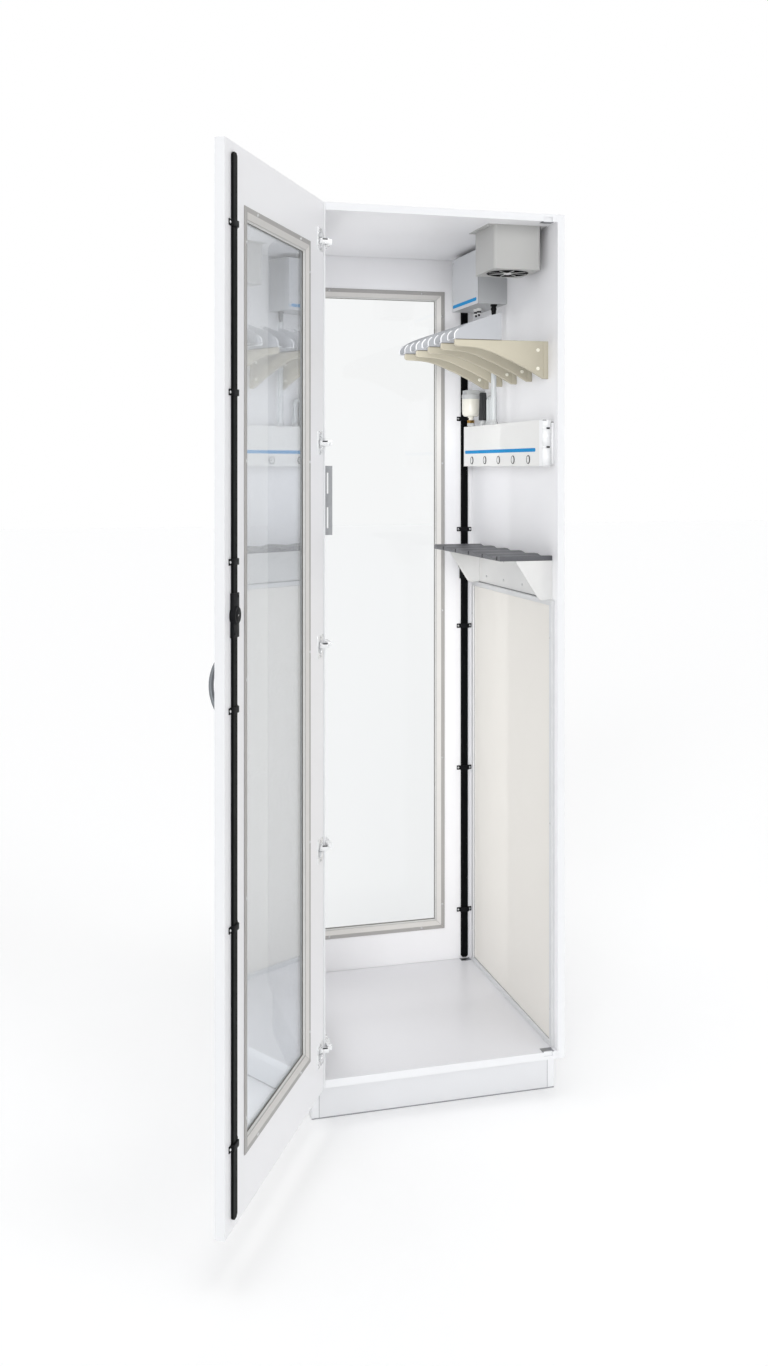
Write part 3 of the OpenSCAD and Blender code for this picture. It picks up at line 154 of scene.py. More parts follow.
FINISHES = {
    "white_board": dict(colour="F0F0F2", rough=0.32, vary=0.012, grain=9, bump=0.06, bump_scale=700),
    # The cabinet floor's copy of the white board, darker: painted shade.
    "floor_board_shaded": dict(colour="E2E2E5", rough=0.32, vary=0.012, grain=9, bump=0.06, bump_scale=700),
    "edge_band": dict(colour="E6E7E9", rough=0.4, vary=0.015, grain=14, bump=0.04, bump_scale=900),
    # The plinth's white board, darker: painted shade under the floor's overhang.
    "plinth_board": dict(colour="DFE0E2", rough=0.34, vary=0.012, grain=9, bump=0.06, bump_scale=700),
    "hinge_steel": dict(colour="EBECED", rough=0.28, metal=0.45, vary=0.05, grain=60, bump=0.03),
    "strike_steel": dict(colour="9A9CA0", rough=0.32, metal=1, vary=0.06, grain=90, stretch=(1, 12, 1),
                         bump=0.05),
    "fan_sheet": dict(colour="B4B4B2", rough=0.42, vary=0.02, grain=30, bump=0.1, bump_scale=1400),
    "black_plastic": dict(colour="111214", rough=0.5, vary=0.12, grain=120, bump=0.15, bump_scale=2200,
                          spec=0.1),
    "filter_fleece": dict(colour="EFEFE9", rough=0.95, vary=0.05, grain=300, bump=0.8, bump_scale=1600,
                          sheen=0.4),
    "screw_steel": dict(colour="CDCECF", rough=0.28, metal=1, vary=0.05, grain=200, bump=0.02),
    "control_shell_paint": dict(colour="B2B4B6", rough=0.45, vary=0.02, grain=30, bump=0.12,
                                bump_scale=1500),
    "control_cover_paint": dict(colour="C8CACD", rough=0.4, vary=0.015, grain=30, bump=0.1,
                                bump_scale=1500),
    "stripe_blue": dict(colour="0C8CCB", rough=0.5, vary=0.03, grain=60, bump=0.04, spec=0.1),
    "circuit_board": dict(colour="1E5B34", rough=0.35, vary=0.15, grain=220, bump=0.2, bump_scale=500),
    "cradle_plastic": dict(colour="BAB4A2", rough=0.5, vary=0.025, grain=40, bump=0.12, bump_scale=1800),
    "cheek_sheet": dict(colour="ADAFB3", rough=0.38, vary=0.03, grain=50, bump=0.06),
    "bracket_steel": dict(colour="A6A8AB", rough=0.35, metal=1, vary=0.05, grain=70, bump=0.04),
    "manifold_paint": dict(colour="E9E9E7", rough=0.38, vary=0.012, grain=30, bump=0.1, bump_scale=1500),
    "white_paint": dict(colour="F4F5F6", rough=0.4, vary=0.01, grain=30, bump=0.08, bump_scale=1500),
    "port_metal": dict(colour="8E9093", rough=0.28, metal=1, vary=0.06, grain=100, bump=0.03),
    "brass": dict(colour="C49A58", rough=0.3, metal=1, vary=0.05, grain=100, bump=0.03),
    # Dark grey for real joints, and for painted shade lines at a fold, under a bracket and along the plinth's
    # foot.
    "joint_and_shade_grey": dict(colour="8E8F92", rough=0.7, vary=0.08, grain=120, bump=0.05),
    # Brown-grey for painted shade lines at the window's joints and under the cradle holders.
    "joint_shade_brown": dict(colour="6B675E", rough=0.7, vary=0.08, grain=120, bump=0.05),
    "grille_light": dict(colour="E4E4E3", rough=0.35, vary=0.02, grain=100, bump=0.04),
    # A darker, half-metallic copy of the white paint for the shelf bracket: the darkening is painted shade.
    "bracket_paint_shaded": dict(colour="DEDEDD", rough=0.34, metal=0.5, vary=0.02, grain=40, bump=0.06),
    # Near-black for dark parts such as fitting rings and port rims, and for painted shade in driver recesses,
    # a window groove and slot cavities.
    "port_dark": dict(colour="2A2B2D", rough=0.6, vary=0.1, grain=100, bump=0.05),
    "damper_grey": dict(colour="6C6E71", rough=0.45, vary=0.06, grain=100, bump=0.05),
    # Black of the rotor, also used for painted shade in the fan grille and at the shelf's notches.
    "rotor_black": dict(colour="0D0E0F", rough=0.55, vary=0.15, grain=120, bump=0.1, spec=0.2),
    "valve_metal": dict(colour="9A9C9F", rough=0.35, metal=1, vary=0.05, grain=70, bump=0.04),
    "filter_plastic": dict(colour="B9BBBB", rough=0.45, vary=0.02, grain=60, bump=0.06),
    "bowl_plastic": dict(colour="E6E4DA", rough=0.25, vary=0.02, grain=40, bump=0.03, coat=0.3),
    "silencer_plastic": dict(colour="26282A", rough=0.5, vary=0.15, grain=120, bump=0.15),
    "tube_plastic": dict(colour="C6CACB", rough=0.22, vary=0.03, grain=60, bump=0.02, coat=0.4),
    "shelf_plastic": dict(colour="55565A", rough=0.42, vary=0.05, grain=60, bump=0.2, bump_scale=1800),
    "panel_plastic": dict(colour="E3E0DA", rough=0.46, vary=0.012, grain=10, bump=0.05, bump_scale=600),
    "panel_aluminium": dict(colour="D6D7D8", rough=0.36, metal=0.2, vary=0.04, grain=60, bump=0.03),
    "slotted_paint": dict(colour="9C9EA1", rough=0.42, vary=0.03, grain=50, bump=0.1),
    "window_metal": dict(colour="A6A4A2", rough=0.42, metal=0.1, vary=0.02, grain=50, bump=0.05),
    # A lighter copy of the window frame's colour for its sloped bevel faces: painted light.
    "window_bevel_lit": dict(colour="D0CECB", rough=0.42, metal=0.05, vary=0.03, grain=50, bump=0.05),
    # A near-white copy of the cheek sheet's colour for its edges and tips: painted highlight.
    "cheek_edge_highlight": dict(colour="EDEEF0", rough=0.35, vary=0.02, grain=80, bump=0.04),
    "cradle_cap": dict(colour="F2EFE2", rough=0.4, vary=0.02, grain=80, bump=0.04),
    "port_face": dict(colour="E4E4E3", rough=0.4, vary=0.03, grain=120, bump=0.04),
    # The window seal's rubber is lightened to offset the shade of its recess: painted light.
    "window_rubber": dict(colour="CFCFCD", rough=0.5, vary=0.08, grain=90, bump=0.1),
    "bar_paint": dict(colour="090A0B", rough=0.5, vary=0.15, grain=80, bump=0.1, bump_scale=1500,
                      spec=0.06),
    "handle_metal": dict(colour="7F8387", rough=0.34, metal=0.8, vary=0.04, grain=70, bump=0.05),
    "lock_metal": dict(colour="B0B2B4", rough=0.25, metal=1, vary=0.05, grain=80, bump=0.03),
}
MAT = {name: material(name, **finish) for name, finish in FINISHES.items()}
MAT["window_glass"] = glass_material("window_glass", (0.965, 0.97, 0.97, 1))

SLOT_OF = {sp["node"]: sp["material_slot"] for sp in frame["record"]["subparts"]}
BODY_OF = {}
for body_name, body_nodes in frame["record"]["behaviour"]["bodies"].items():
    for node_name in body_nodes:
        BODY_OF[node_name] = body_name


# ---------------------------------------------------------------- mesh helpers
SHARP = math.radians(40)    # edges with a larger angle stay sharp
FLAT_AREA = 2e-3            # larger faces, in square metres, are planar and shaded flat


def new_piece(name, bm, mat, body):
    """Makes an object of a bmesh, shades it by angle with large faces flat, and lets it ride on a body."""
    mesh = bpy.data.meshes.new(name)
    bmesh.ops.recalc_face_normals(bm, faces=bm.faces)
    for e in bm.edges:
        e.smooth = len(e.link_faces) == 2 and e.calc_face_angle(0) < SHARP
    for f in bm.faces:
        f.smooth = f.calc_area() < FLAT_AREA
    bm.to_mesh(mesh)
    bm.free()
    obj = bpy.data.objects.new(name, mesh)
    bpy.context.scene.collection.objects.link(obj)
    mats = mat if isinstance(mat, (list, tuple)) else [mat]
    for one in mats:
        mesh.materials.append(MAT[one])
    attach(obj, body)
    return obj


def stand_in(node, bm, mat=None, name=None):
    """Makes the piece that stands for a CAD node, on the node's body and slot."""
    obj = new_piece(name or node + "_dressed", bm, mat or SLOT_OF[node], BODY_OF[node])
    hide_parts(node)


def node_bmesh(node):
    """The CAD node's surface as a clean bmesh, with split vertices joined and flat faces merged."""
    bm = bmesh.new()
    bm.from_mesh(frame["nodes"][node].data)
    bmesh.ops.remove_doubles(bm, verts=bm.verts, dist=2e-6)
    bmesh.ops.dissolve_limit(bm, angle_limit=math.radians(1), verts=bm.verts, edges=bm.edges)
    return bm


def round_edges(bm, width, segments=2, angle=30):
    """Bevels each edge whose faces meet at more than the angle, in degrees."""
    edges = [e for e in bm.edges if len(e.link_faces) == 2 and e.calc_face_angle(0) > math.radians(angle)]
    if edges:
        bmesh.ops.bevel(bm, geom=edges, offset=width, segments=segments, profile=0.6, affect="EDGES",
                        clamp_overlap=True)


def merge(bm, part):
    """Adds a part to a bmesh and frees it."""
    mesh = bpy.data.meshes.new("part")
    part.to_mesh(mesh)
    part.free()
    bm.from_mesh(mesh)
    bpy.data.meshes.remove(mesh)


def dress(node, width, mat=None):
    """Stands for a CAD node: the same form with small rounded edges."""
    bm = node_bmesh(node)
    round_edges(bm, width)
    stand_in(node, bm, mat)


def box(bm, lo, hi, matrix=Matrix()):
    """A box between two corners, then moved by a matrix."""
    lo, hi = Vector(lo), Vector(hi)
    mid, size = (lo + hi) / 2, hi - lo
    for v in bmesh.ops.create_cube(bm, size=1)["verts"]:
        v.co = matrix @ (Vector((v.co.x * size.x, v.co.y * size.y, v.co.z * size.z)) + mid)


def lathe(bm, profile, steps=32, matrix=Matrix()):
    """A turned solid about +Z from (radius, z) points, from the axis to the axis or as a closed ring."""
    rings = []
    for r, z in profile:
        if r < 1e-7:
            rings.append([bm.verts.new(matrix @ Vector((0, 0, z)))])
        else:
            rings.append([bm.verts.new(matrix @ Vector((r * math.cos(a), r * math.sin(a), z)))
                          for a in (2 * math.pi * k / steps for k in range(steps))])
    for a, b in zip(rings, rings[1:]):
        for k in range(steps):
            n = (k + 1) % steps
            quad = [a[k % len(a)], a[n % len(a)], b[n % len(b)], b[k % len(b)]]
            face = []
            for v in quad:
                if v not in face:
                    face.append(v)
            if len(face) > 2:
                bm.faces.new(face)


def pan_head(bm, matrix, d=0.006, h=0.0014):
    """A pan-head screw with a pressed recess, its seat at z = 0."""
    r = d / 2
    lathe(bm, [(0, -0.0002), (r, -0.0002), (r, h * 0.35), (r * 0.9, h * 0.75), (r * 0.62, h),
               (r * 0.42, h), (r * 0.3, h * 0.45), (0, h * 0.35)], 20, matrix)


def turn(axis):
    """The rotation that takes +Z to the given direction."""
    return Vector((0, 0, 1)).rotation_difference(Vector(axis)).to_matrix().to_4x4()


# ---------------------------------------------------------------- pieces
for node, obj in frame["nodes"].items():
    obj.data.materials.clear()
    obj.data.materials.append(MAT[SLOT_OF[node]])


def paint(bm, rule):
    """Sets each face's material index by a rule on the face."""
    bm.normal_update()
    for f in bm.faces:
        f.material_index = rule(f)


def board(node, axis, mat=None):
    """A board with rounded edges: faces square to its thickness have its own finish, the rest is banded."""
    bm = node_bmesh(node)
    round_edges(bm, 0.0009, 2)
    paint(bm, lambda f: 0 if abs(f.normal.dot(axis)) > 0.7 else 1)
    stand_in(node, bm, [mat or SLOT_OF[node], "edge_band"])


X, Y, Z = Vector((1, 0, 0)), Vector((0, 1, 0)), Vector((0, 0, 1))
board("side_panel_left", X)
board("side_panel_right", X)
board("top_panel", Z)
# The floor panel takes the darker copy of the white board: painted shade.
board("floor_panel", Z, "floor_board_shaded")
board("plinth_cross_boards", Y)
board("plinth_side_boards", X)
for side, m in DOORS.items():
    board(side + "_door_leaf", (m.to_3x3() @ Y).normalized())

# Radii of the rounded edges, by node and by the part of a door's node name
EDGES = {"control_box_shell": 0.0012, "manifold_shell": 0.0006, "slotted_bracket": 0.0004,
         "strike_plates": 0.0003, "cradle_brackets": 0.0004, "scope_shelf": 0.0012, "drip_panel": 0.0008,
         "fan_frame": 0.0006, "fan_housing": 0.0004}
DOOR_EDGES = {"bar_guides": 0.0005, "lock_case": 0.0005, "upper_bar": 0.0004, "lower_bar": 0.0004,
              "hinge_cups": 0.00025, "window_seal": 0.0004, "handle": 0.0003, "lock_core": 0.00012}
for node, width in EDGES.items():
    dress(node, width)
# The shelf bracket takes the darker copy of the white paint: painted shade.
dress("shelf_bracket", 0.0006, "bracket_paint_shaded")

# Plinth: joints of the front and rear boards with the side boards, and a dark strip along the foot, painted
# contact shadow at the floor
PLINTH_FACE, CONTACT_SHADE_H = 0.2425, 0.0024
bm = bmesh.new()
foot_shade = bmesh.new()
for face in (-PLINTH_FACE, PLINTH_FACE):
    for x in (-WALL_X, WALL_X):
        box(bm, (x - 0.0004, face - 0.0003, 0.0), (x + 0.0004, face + 0.0003, PLINTH))
    box(foot_shade, (0.0005 - SIDE_X, face - 0.0006, 0.0), (SIDE_X - 0.0005, face + 0.0006, CONTACT_SHADE_H))
new_piece("plinth_joints", bm, "joint_and_shade_grey", "cabinet")
new_piece("plinth_contact_shade", foot_shade, "joint_and_shade_grey", "cabinet")

for side in DOORS:
    for part, width in DOOR_EDGES.items():
        dress(side + "_" + part, width)
for side in DOORS:
    dress(side + "_hinge_arms", 0.0004)


# ---------------------------------------------------------------- doors
MITRE_GAP = 0.00012


def mitred_bar(bm, length, section, matrix, width=0.0003):
    """One bar of a mitred ring along +X with its own ends, so that the mitre shows as a joint."""
    part = bmesh.new()
    ends = [[part.verts.new((x0 + sign * (q[0] + MITRE_GAP), q[0], q[1])) for q in section]
            for x0, sign in ((0, 1), (length, -1))]
    count = len(section)
    for k in range(count):
        part.faces.new((ends[0][k], ends[0][(k + 1) % count], ends[1][(k + 1) % count], ends[1][k]))
    for ring in ends:
        part.faces.new(ring)
    bmesh.ops.recalc_face_normals(part, faces=part.faces)
    round_edges(part, width, 1, 25)
    part.normal_update()
    for f in part.faces:
        # Sloped faces of some size take the second material, the lighter copy of the frame's colour: painted
        # light on the bevel.
        f.material_index = 1 if 0.2 < f.normal.z < 0.97 and f.calc_area() > 1e-3 else 0
    part.transform(matrix)
    merge(bm, part)


def mitred_ring(bm, size, section, matrix):
    """Four mitred bars of one section round a rectangle."""
    for origin, angle, length in (((0, 0), 0, size[0]), ((size[0], 0), 90, size[1]),
                                  ((size[0], size[1]), 180, size[0]), ((0, size[1]), 270, size[1])):
        spin = Matrix.Translation((*origin, 0)) @ Matrix.Rotation(math.radians(angle), 4, "Z")
        mitred_bar(bm, length, section, matrix @ spin)


def scaled(points):
    """Points in millimetres, in metres."""
    return [(q[0] * MM, q[1] * MM) for q in points]


# Window in the leaf, bars, guides and hinges, in the leaf's frame
LEAF_W, LEAF_T = 0.596, 0.020
WIN = (0.400, 1.785)
WIN_SIDE, WIN_LOW = 0.098, 0.1075
WIN_SECTION = scaled([(0, 0), (0, 1.7), (0.8, 2.5), (10.3, 2.5), (22.4, -2.2), (22.4, -8), (14.2, -8),
                      (14.2, 0)])
ON_INNER = Matrix.Translation((LEAF_W - WIN_SIDE, 0, WIN_LOW)) @ Matrix(
    ((-1, 0, 0, 0), (0, 0, 1, 0), (0, 1, 0, 0), (0, 0, 0, 1)))
ON_OUTER = Matrix.Translation((WIN_SIDE, -LEAF_T, WIN_LOW)) @ Matrix(
    ((1, 0, 0, 0), (0, 0, -1, 0), (0, 1, 0, 0), (0, 0, 0, 1)))
BAR_S, LOCK_Z, HANDLE_Z, HANDLE_HALF = 0.556, 1.129, 0.998, 0.0585
SCREW_INSET, SCREW_END = 0.0066, 0.068
GUIDES = [1.227, 1.5375, 1.848, 0.955, 0.5555, 0.156]
HINGES = [0.090 + 0.455 * k for k in range(5)]
CUP_S, CUP_SCREW = 0.0225, 0.021
# Driver recesses on a hinge arm: y, z and x from the carcass corner, and the cross's size
ARM_MARKS = ((0.042, 0, 0.0352, 0.0036), (0.051, 0, 0.0352, 0.0036),
             (0.037, -0.016, 0.0226, 0.0042), (0.037, 0.016, 0.0226, 0.0042))
INTO = turn((0, 1, 0))
OUT = turn((0, -1, 0))
DOWN = turn((0, 0, -1))
LEFT = turn((-1, 0, 0))


def recess_shade_cross(bm, matrix, size=0.0034):
    """A dark cross lying on a head at z = 0: the painted shade of a driver recess."""
    for w, d in ((size, size * 0.22), (size * 0.22, size)):
        box(bm, (-w / 2, -d / 2, -0.0002), (w / 2, d / 2, 0.00006), matrix)


for side, m in DOORS.items():
    bm = bmesh.new()
    for place in (ON_INNER, ON_OUTER):
        mitred_ring(bm, WIN, WIN_SECTION, m @ place)
    stand_in(side + "_window_frame", bm, ["window_metal", "window_bevel_lit"], side + "_window_frame_bars")

    # Fine dark lines where the glass meets the seal, the seal meets the frame and the frame meets the leaf,
    # and a dark strip in the frame's groove: painted shade at the joints and in the groove
    bm = bmesh.new()
    dark = bmesh.new()
    glass_joint_shade = scaled([(25.2, -7.9), (25.2, -6.9), (26.6, -6.9), (26.6, -7.9)])
    line = scaled([(-0.5, 0.0), (-0.5, 0.25), (0.1, 0.25), (0.1, 0.0)])
    groove_shade = scaled([(22.3, -8.0), (22.3, -5.7), (22.8, -5.7), (22.8, -8.0)])
    for place in (ON_INNER, ON_OUTER):
        mitred_ring(bm, WIN, glass_joint_shade, m @ place)
        mitred_ring(bm, WIN, line, m @ place)
        mitred_ring(dark, WIN, groove_shade, m @ place)
    for part in (bm, dark):
        paint(part, lambda f: 0)
    new_piece(side + "_window_joint_shade", bm, "joint_shade_brown", side + "_door")
    new_piece(side + "_window_groove_shade", dark, "port_dark", side + "_door")

    bm = bmesh.new()
    rows = [SCREW_END + k * (WIN[1] - 2 * SCREW_END) / 4 for k in range(5)]
    spots = [(x, z) for x in (SCREW_INSET, WIN[0] - SCREW_INSET) for z in rows]
    spots += [(x, z) for x in (SCREW_END, WIN[0] - SCREW_END) for z in (SCREW_INSET, WIN[1] - SCREW_INSET)]
    for x, z in spots:
        pan_head(bm, m @ Matrix.Translation((WIN_SIDE + x, 0.0025, WIN_LOW + z)) @ INTO)
    for z in GUIDES:
        for dx in (-0.017, 0.017):
            pan_head(bm, m @ Matrix.Translation((BAR_S + dx, 0.0018, z)) @ INTO)
    stand_in(side + "_door_screws", bm)

    # Hinge cups: screws in the flange, with dark crosses as painted shade of their driver recesses, and the
    # damper barrel in the cup
    bm = bmesh.new()
    dark = bmesh.new()
    barrels = bmesh.new()
    for z in HINGES:
        for dz in (-CUP_SCREW, CUP_SCREW):
            at = m @ Matrix.Translation((CUP_S, 0.0011, z + dz)) @ INTO
            lathe(bm, scaled([(0, -0.5), (3.6, -0.5), (3.6, 0.2), (2.6, 0.9), (0, 0.9)]), 24, at)
            recess_shade_cross(dark, at @ Matrix.Translation((0, 0, 0.0009)))
        barrel = m @ Matrix.Translation((CUP_S + 0.006, -0.0065, z - 0.009)) @ turn((0, 0, 1))
        lathe(barrels, scaled([(0, 0), (2.2, 0), (2.8, 0.6), (2.8, 17.4), (2.2, 18), (0, 18)]), 20, barrel)
    new_piece(side + "_cup_screws", bm, "screw_steel", side + "_door")
    new_piece(side + "_cup_recess_shade", dark, "port_dark", side + "_door")
    new_piece(side + "_cup_dampers", barrels, "damper_grey", side + "_door")

    # Hinge arms: dark crosses as painted shade of the driver recesses in the plate's screws and in the two
    # setting screws, and a dark patch at each arm
    corner = Matrix.Translation((-SIDE_X, FRONT_Y, PLINTH))
    if side == "rear":
        corner = Matrix.Scale(-1, 4, (0, 1, 0)) @ corner
    bm = bmesh.new()
    cover = bmesh.new()
    for z in HINGES:
        box(bm, (0.0095, -0.0088, z + 0.0024), (0.0215, -0.0085, z + 0.0057), corner)
        for y, dz, x, size in ARM_MARKS:
            recess_shade_cross(bm, corner @ Matrix.Translation((x, y, z + dz)) @ turn((1, 0, 0)), size)
        box(cover, (0.0337, 0.010, z - 0.0052), (0.0346, 0.034, z + 0.0052), corner)
    round_edges(cover, 0.0003, 1)
    new_piece(side + "_arm_shade_marks", bm, "port_dark", "cabinet")
    new_piece(side + "_arm_covers", cover, "hinge_steel", "cabinet")

    # Lock: cap on the boss, case screws, and the cylinder's face with its keyway
    bm = bmesh.new()
    boss = m @ Matrix.Translation((BAR_S, 0.0105, LOCK_Z)) @ INTO
    lathe(bm, scaled([(0, -0.6), (11.2, -0.6), (11.2, 0), (10.6, 0.5), (0, 0.7)]), 40, boss)
    new_piece(side + "_lock_cap", bm, "black_plastic", side + "_door")
    bm = bmesh.new()
    for dx, dz in ((-0.0115, 0.034), (0.0115, -0.034)):
        pan_head(bm, m @ Matrix.Translation((BAR_S + dx * 0.75, 0.0074, LOCK_Z + dz)) @ INTO, 0.0046, 0.0012)
    new_piece(side + "_lock_screws", bm, "black_plastic", side + "_door")
    bm = bmesh.new()
    lathe(bm, scaled([(0, 0.4), (1.6, 0.4), (1.6, 1.0), (1.1, 1.3), (0, 1.3)]), 20, boss)
    new_piece(side + "_lock_pin", bm, "screw_steel", side + "_door")
    bm = bmesh.new()
    face = m @ Matrix.Translation((BAR_S, -0.0225, LOCK_Z)) @ OUT
    lathe(bm, scaled([(5.6, -0.4), (12.2, -0.4), (12.2, 0.2), (11.2, 0.9), (6.2, 0.9), (5.6, 0.4),
                      (5.6, -0.4)]), 48, face)
    new_piece(side + "_lock_escutcheon", bm, "lock_metal", side + "_door")

    # Handle feet
    bm = bmesh.new()
    for dz in (-HANDLE_HALF, HANDLE_HALF):
        foot = m @ Matrix.Translation((BAR_S, -LEAF_T, HANDLE_Z + dz)) @ OUT
        lathe(bm, scaled([(0, -0.3), (8.8, -0.3), (8.8, 0.8), (7.8, 1.8), (0, 1.8)]), 40, foot)
    new_piece(side + "_handle_feet", bm, "handle_metal", side + "_door")


# ---------------------------------------------------------------- scope hanger
PLATE_YS = [FRONT_Y + 0.060 + 0.105 * k for k in range(5)]
PLATE_TOP = CEIL_Z - 0.277
REACH, PLATE_H, PLATE_T = 0.237, 0.091, 0.008
# Lower edge of a plate, as shares of its reach and height
EDGE = [(0, 1), (0.055, 1), (0.11, 0.92), (0.17, 0.83), (0.23, 0.75), (0.32, 0.64), (0.4, 0.54),
        (0.48, 0.46), (0.55, 0.38), (0.63, 0.3), (0.72, 0.24), (0.8, 0.21), (0.9, 0.195), (0.972, 0.19),
        (0.99, 0.17), (1, 0.14)]

# Plates with a round edge, each on a foot at the wall
bm = bmesh.new()
foot = bmesh.new()
for y0 in PLATE_YS:
    part = bmesh.new()
    ring = [(0.0, 0.0)] + [(u * REACH, -v * PLATE_H) for u, v in EDGE]
    ring += [(REACH, -0.003), (REACH - 0.001, -0.001), (REACH - 0.003, 0.0)]
    front = [part.verts.new((WALL_X - u, y0, PLATE_TOP + v)) for u, v in ring]
    back = [part.verts.new((WALL_X - u, y0 + PLATE_T, PLATE_TOP + v)) for u, v in ring]
    part.faces.new(front)
    part.faces.new(list(reversed(back)))
    for k in range(len(ring)):
        n = (k + 1) % len(ring)
        part.faces.new((front[k], back[k], back[n], front[n]))
    bmesh.ops.recalc_face_normals(part, faces=part.faces)
    rim = [e for e in part.edges if abs(e.verts[0].co.y - e.verts[1].co.y) < 1e-6]
    bmesh.ops.bevel(part, geom=rim, offset=0.0026, segments=4, profile=0.5, affect="EDGES",
                    clamp_overlap=True)
    merge(bm, part)
    box(foot, (WALL_X - 0.012, y0 - 0.0015, PLATE_TOP - PLATE_H + 0.0006),
        (WALL_X, y0 + 0.001, PLATE_TOP - 0.0006))
stand_in("scope_cradles", bm)
round_edges(foot, 0.0006, 2)
new_piece("cradle_feet", foot, "cradle_plastic", "cabinet")

bm = node_bmesh("cradle_cheeks")
round_edges(bm, 0.0003, 1)
# The sheets' narrow edge faces take the near-white copy: painted highlight.
paint(bm, lambda f: 1 if abs(f.normal.y) < 0.5 and f.calc_area() < 1.2e-4 else 0)
stand_in("cradle_cheeks", bm, ["cheek_sheet", "cheek_edge_highlight"])


def sweep(bm, path, radius, steps=20, up=(1, 0, 0)):
    """A tube of the given radius along a path of points."""
    rings = []
    up = Vector(up)
    for k, q in enumerate(path):
        ahead = (path[min(k + 1, len(path) - 1)] - path[max(k - 1, 0)]).normalized()
        u = ahead.cross(up).normalized()
        v = ahead.cross(u).normalized()
        rings.append([bm.verts.new(q + radius * (u * math.cos(a) + v * math.sin(a)))
                      for a in (2 * math.pi * j / steps for j in range(steps))])
    for p, q in zip(rings, rings[1:]):
        for j in range(steps):
            n = (j + 1) % steps
            bm.faces.new((p[j], p[n], q[n], q[j]))
    bm.faces.new(rings[0])
    bm.faces.new(list(reversed(rings[-1])))


# Edge trims on the cheeks' tips, near-white as a painted highlight, and dark strips along the plates' tops
# under the holders, painted shade
HOLD_X, CHEEK_L, CHEEK_H, NOSE = WALL_X - REACH + 0.118, 0.118, 0.066, 0.012
bm = bmesh.new()
under_holder_shade = bmesh.new()
for y0 in PLATE_YS:
    for y in (0.001, 0.053):
        path = []
        for t in (0.92, 0.94, 0.96, 0.98, 1.0):
            rise = NOSE + (CHEEK_H - NOSE) * (1 - t) ** 0.6
            path.append(Vector((HOLD_X - CHEEK_L * t, y0 + y, PLATE_TOP + rise)))
        path += [Vector((HOLD_X - CHEEK_L, y0 + y, PLATE_TOP + z)) for z in (0.008, 0.004, 0.0022)]
        sweep(bm, path, 0.0016, 12, (0, 1, 0))
    box(under_holder_shade, (WALL_X - REACH + 0.003, y0 - 0.0004, PLATE_TOP - 0.0010),
        (HOLD_X, y0 + 0.0004, PLATE_TOP + 0.0006))
new_piece("cheek_trim_highlights", bm, "cheek_edge_highlight", "cabinet")
new_piece("holder_shade_lines", under_holder_shade, "joint_shade_brown", "cabinet")

# Screws of the plates, of their wall brackets and of the holders
bm = bmesh.new()
for y0 in PLATE_YS:
    for dz in (-0.022, -0.06643):
        at = Matrix.Translation((WALL_X - 0.026, y0, PLATE_TOP + dz)) @ OUT
        pan_head(bm, at, 0.009, 0.002)
        pan_head(bm, Matrix.Translation((WALL_X - 0.0025, y0 + PLATE_T + 0.0234, PLATE_TOP + dz)) @ LEFT)
    for dx in (0.137, 0.211):
        pan_head(bm, Matrix.Translation((WALL_X - dx, y0 + 0.0055, PLATE_TOP + 0.002)))
stand_in("cradle_screws", bm, "cradle_cap")


# ---------------------------------------------------------------- fan unit
FAN = (0.204, -0.1775)
FAN_Z = CEIL_Z - 0.106
GRILLE = Matrix.Translation((FAN[0], FAN[1], FAN_Z)) @ DOWN
SPOKES, BLADES, PLEATS = 8, 7, 22

# Screws of the fan housing's flanges and grille, and of the shelf bracket
bm = bmesh.new()
for sx in (-1, 1):
    for sy in (-1, 1):
        pan_head(bm, Matrix.Translation((FAN[0] + sx * 0.0675, FAN[1] + sy * 0.052, CEIL_Z - 0.0015)) @ DOWN)
        pan_head(bm, Matrix.Translation((FAN[0] + sx * 0.050, FAN[1] + sy * 0.050, FAN_Z)) @ DOWN)
for k in range(4):
    for z in (1.2035, 1.2535):
        pan_head(bm, Matrix.Translation((WALL_X - 0.002, -0.2145 + k * 0.397 / 3, z)) @ LEFT)
stand_in("fixing_screws", bm)

# Grille: a dark rim with dark spokes, painted shade that makes the openings read wide and dark, and a light
# cap with narrower spokes before it
bm = bmesh.new()
lathe(bm, scaled([(48.4, -1.7), (51, -0.1), (51, 0.9), (50.2, 1.4), (49, 1.2), (48.4, 0.4), (48.4, -1.7)]),
      72, GRILLE)
lathe(bm, scaled([(0, -1.7), (10.2, -1.7), (10.2, 0.3), (0, 0.3)]), 40, GRILLE)
for k in range(SPOKES):
    spin = GRILLE @ Matrix.Rotation(2 * math.pi / SPOKES * k, 4, "Z")
    box(bm, (0.0098, -0.0019, -0.0017), (0.0487, 0.0019, 0.0002), spin)
new_piece("fan_grille_shade", bm, "rotor_black", "cabinet")
bm = bmesh.new()
lathe(bm, scaled([(0, -0.2), (10, -0.2), (10, 1), (8.8, 2.4), (6, 3.4), (0, 3.8)]), 40, GRILLE)
for k in range(SPOKES):
    spin = GRILLE @ Matrix.Rotation(2 * math.pi / SPOKES * k, 4, "Z")
    box(bm, (0.0090, -0.0010, -0.0001), (0.0492, 0.0010, 0.0009), spin)
new_piece("fan_grille_cap", bm, "grille_light", "cabinet")

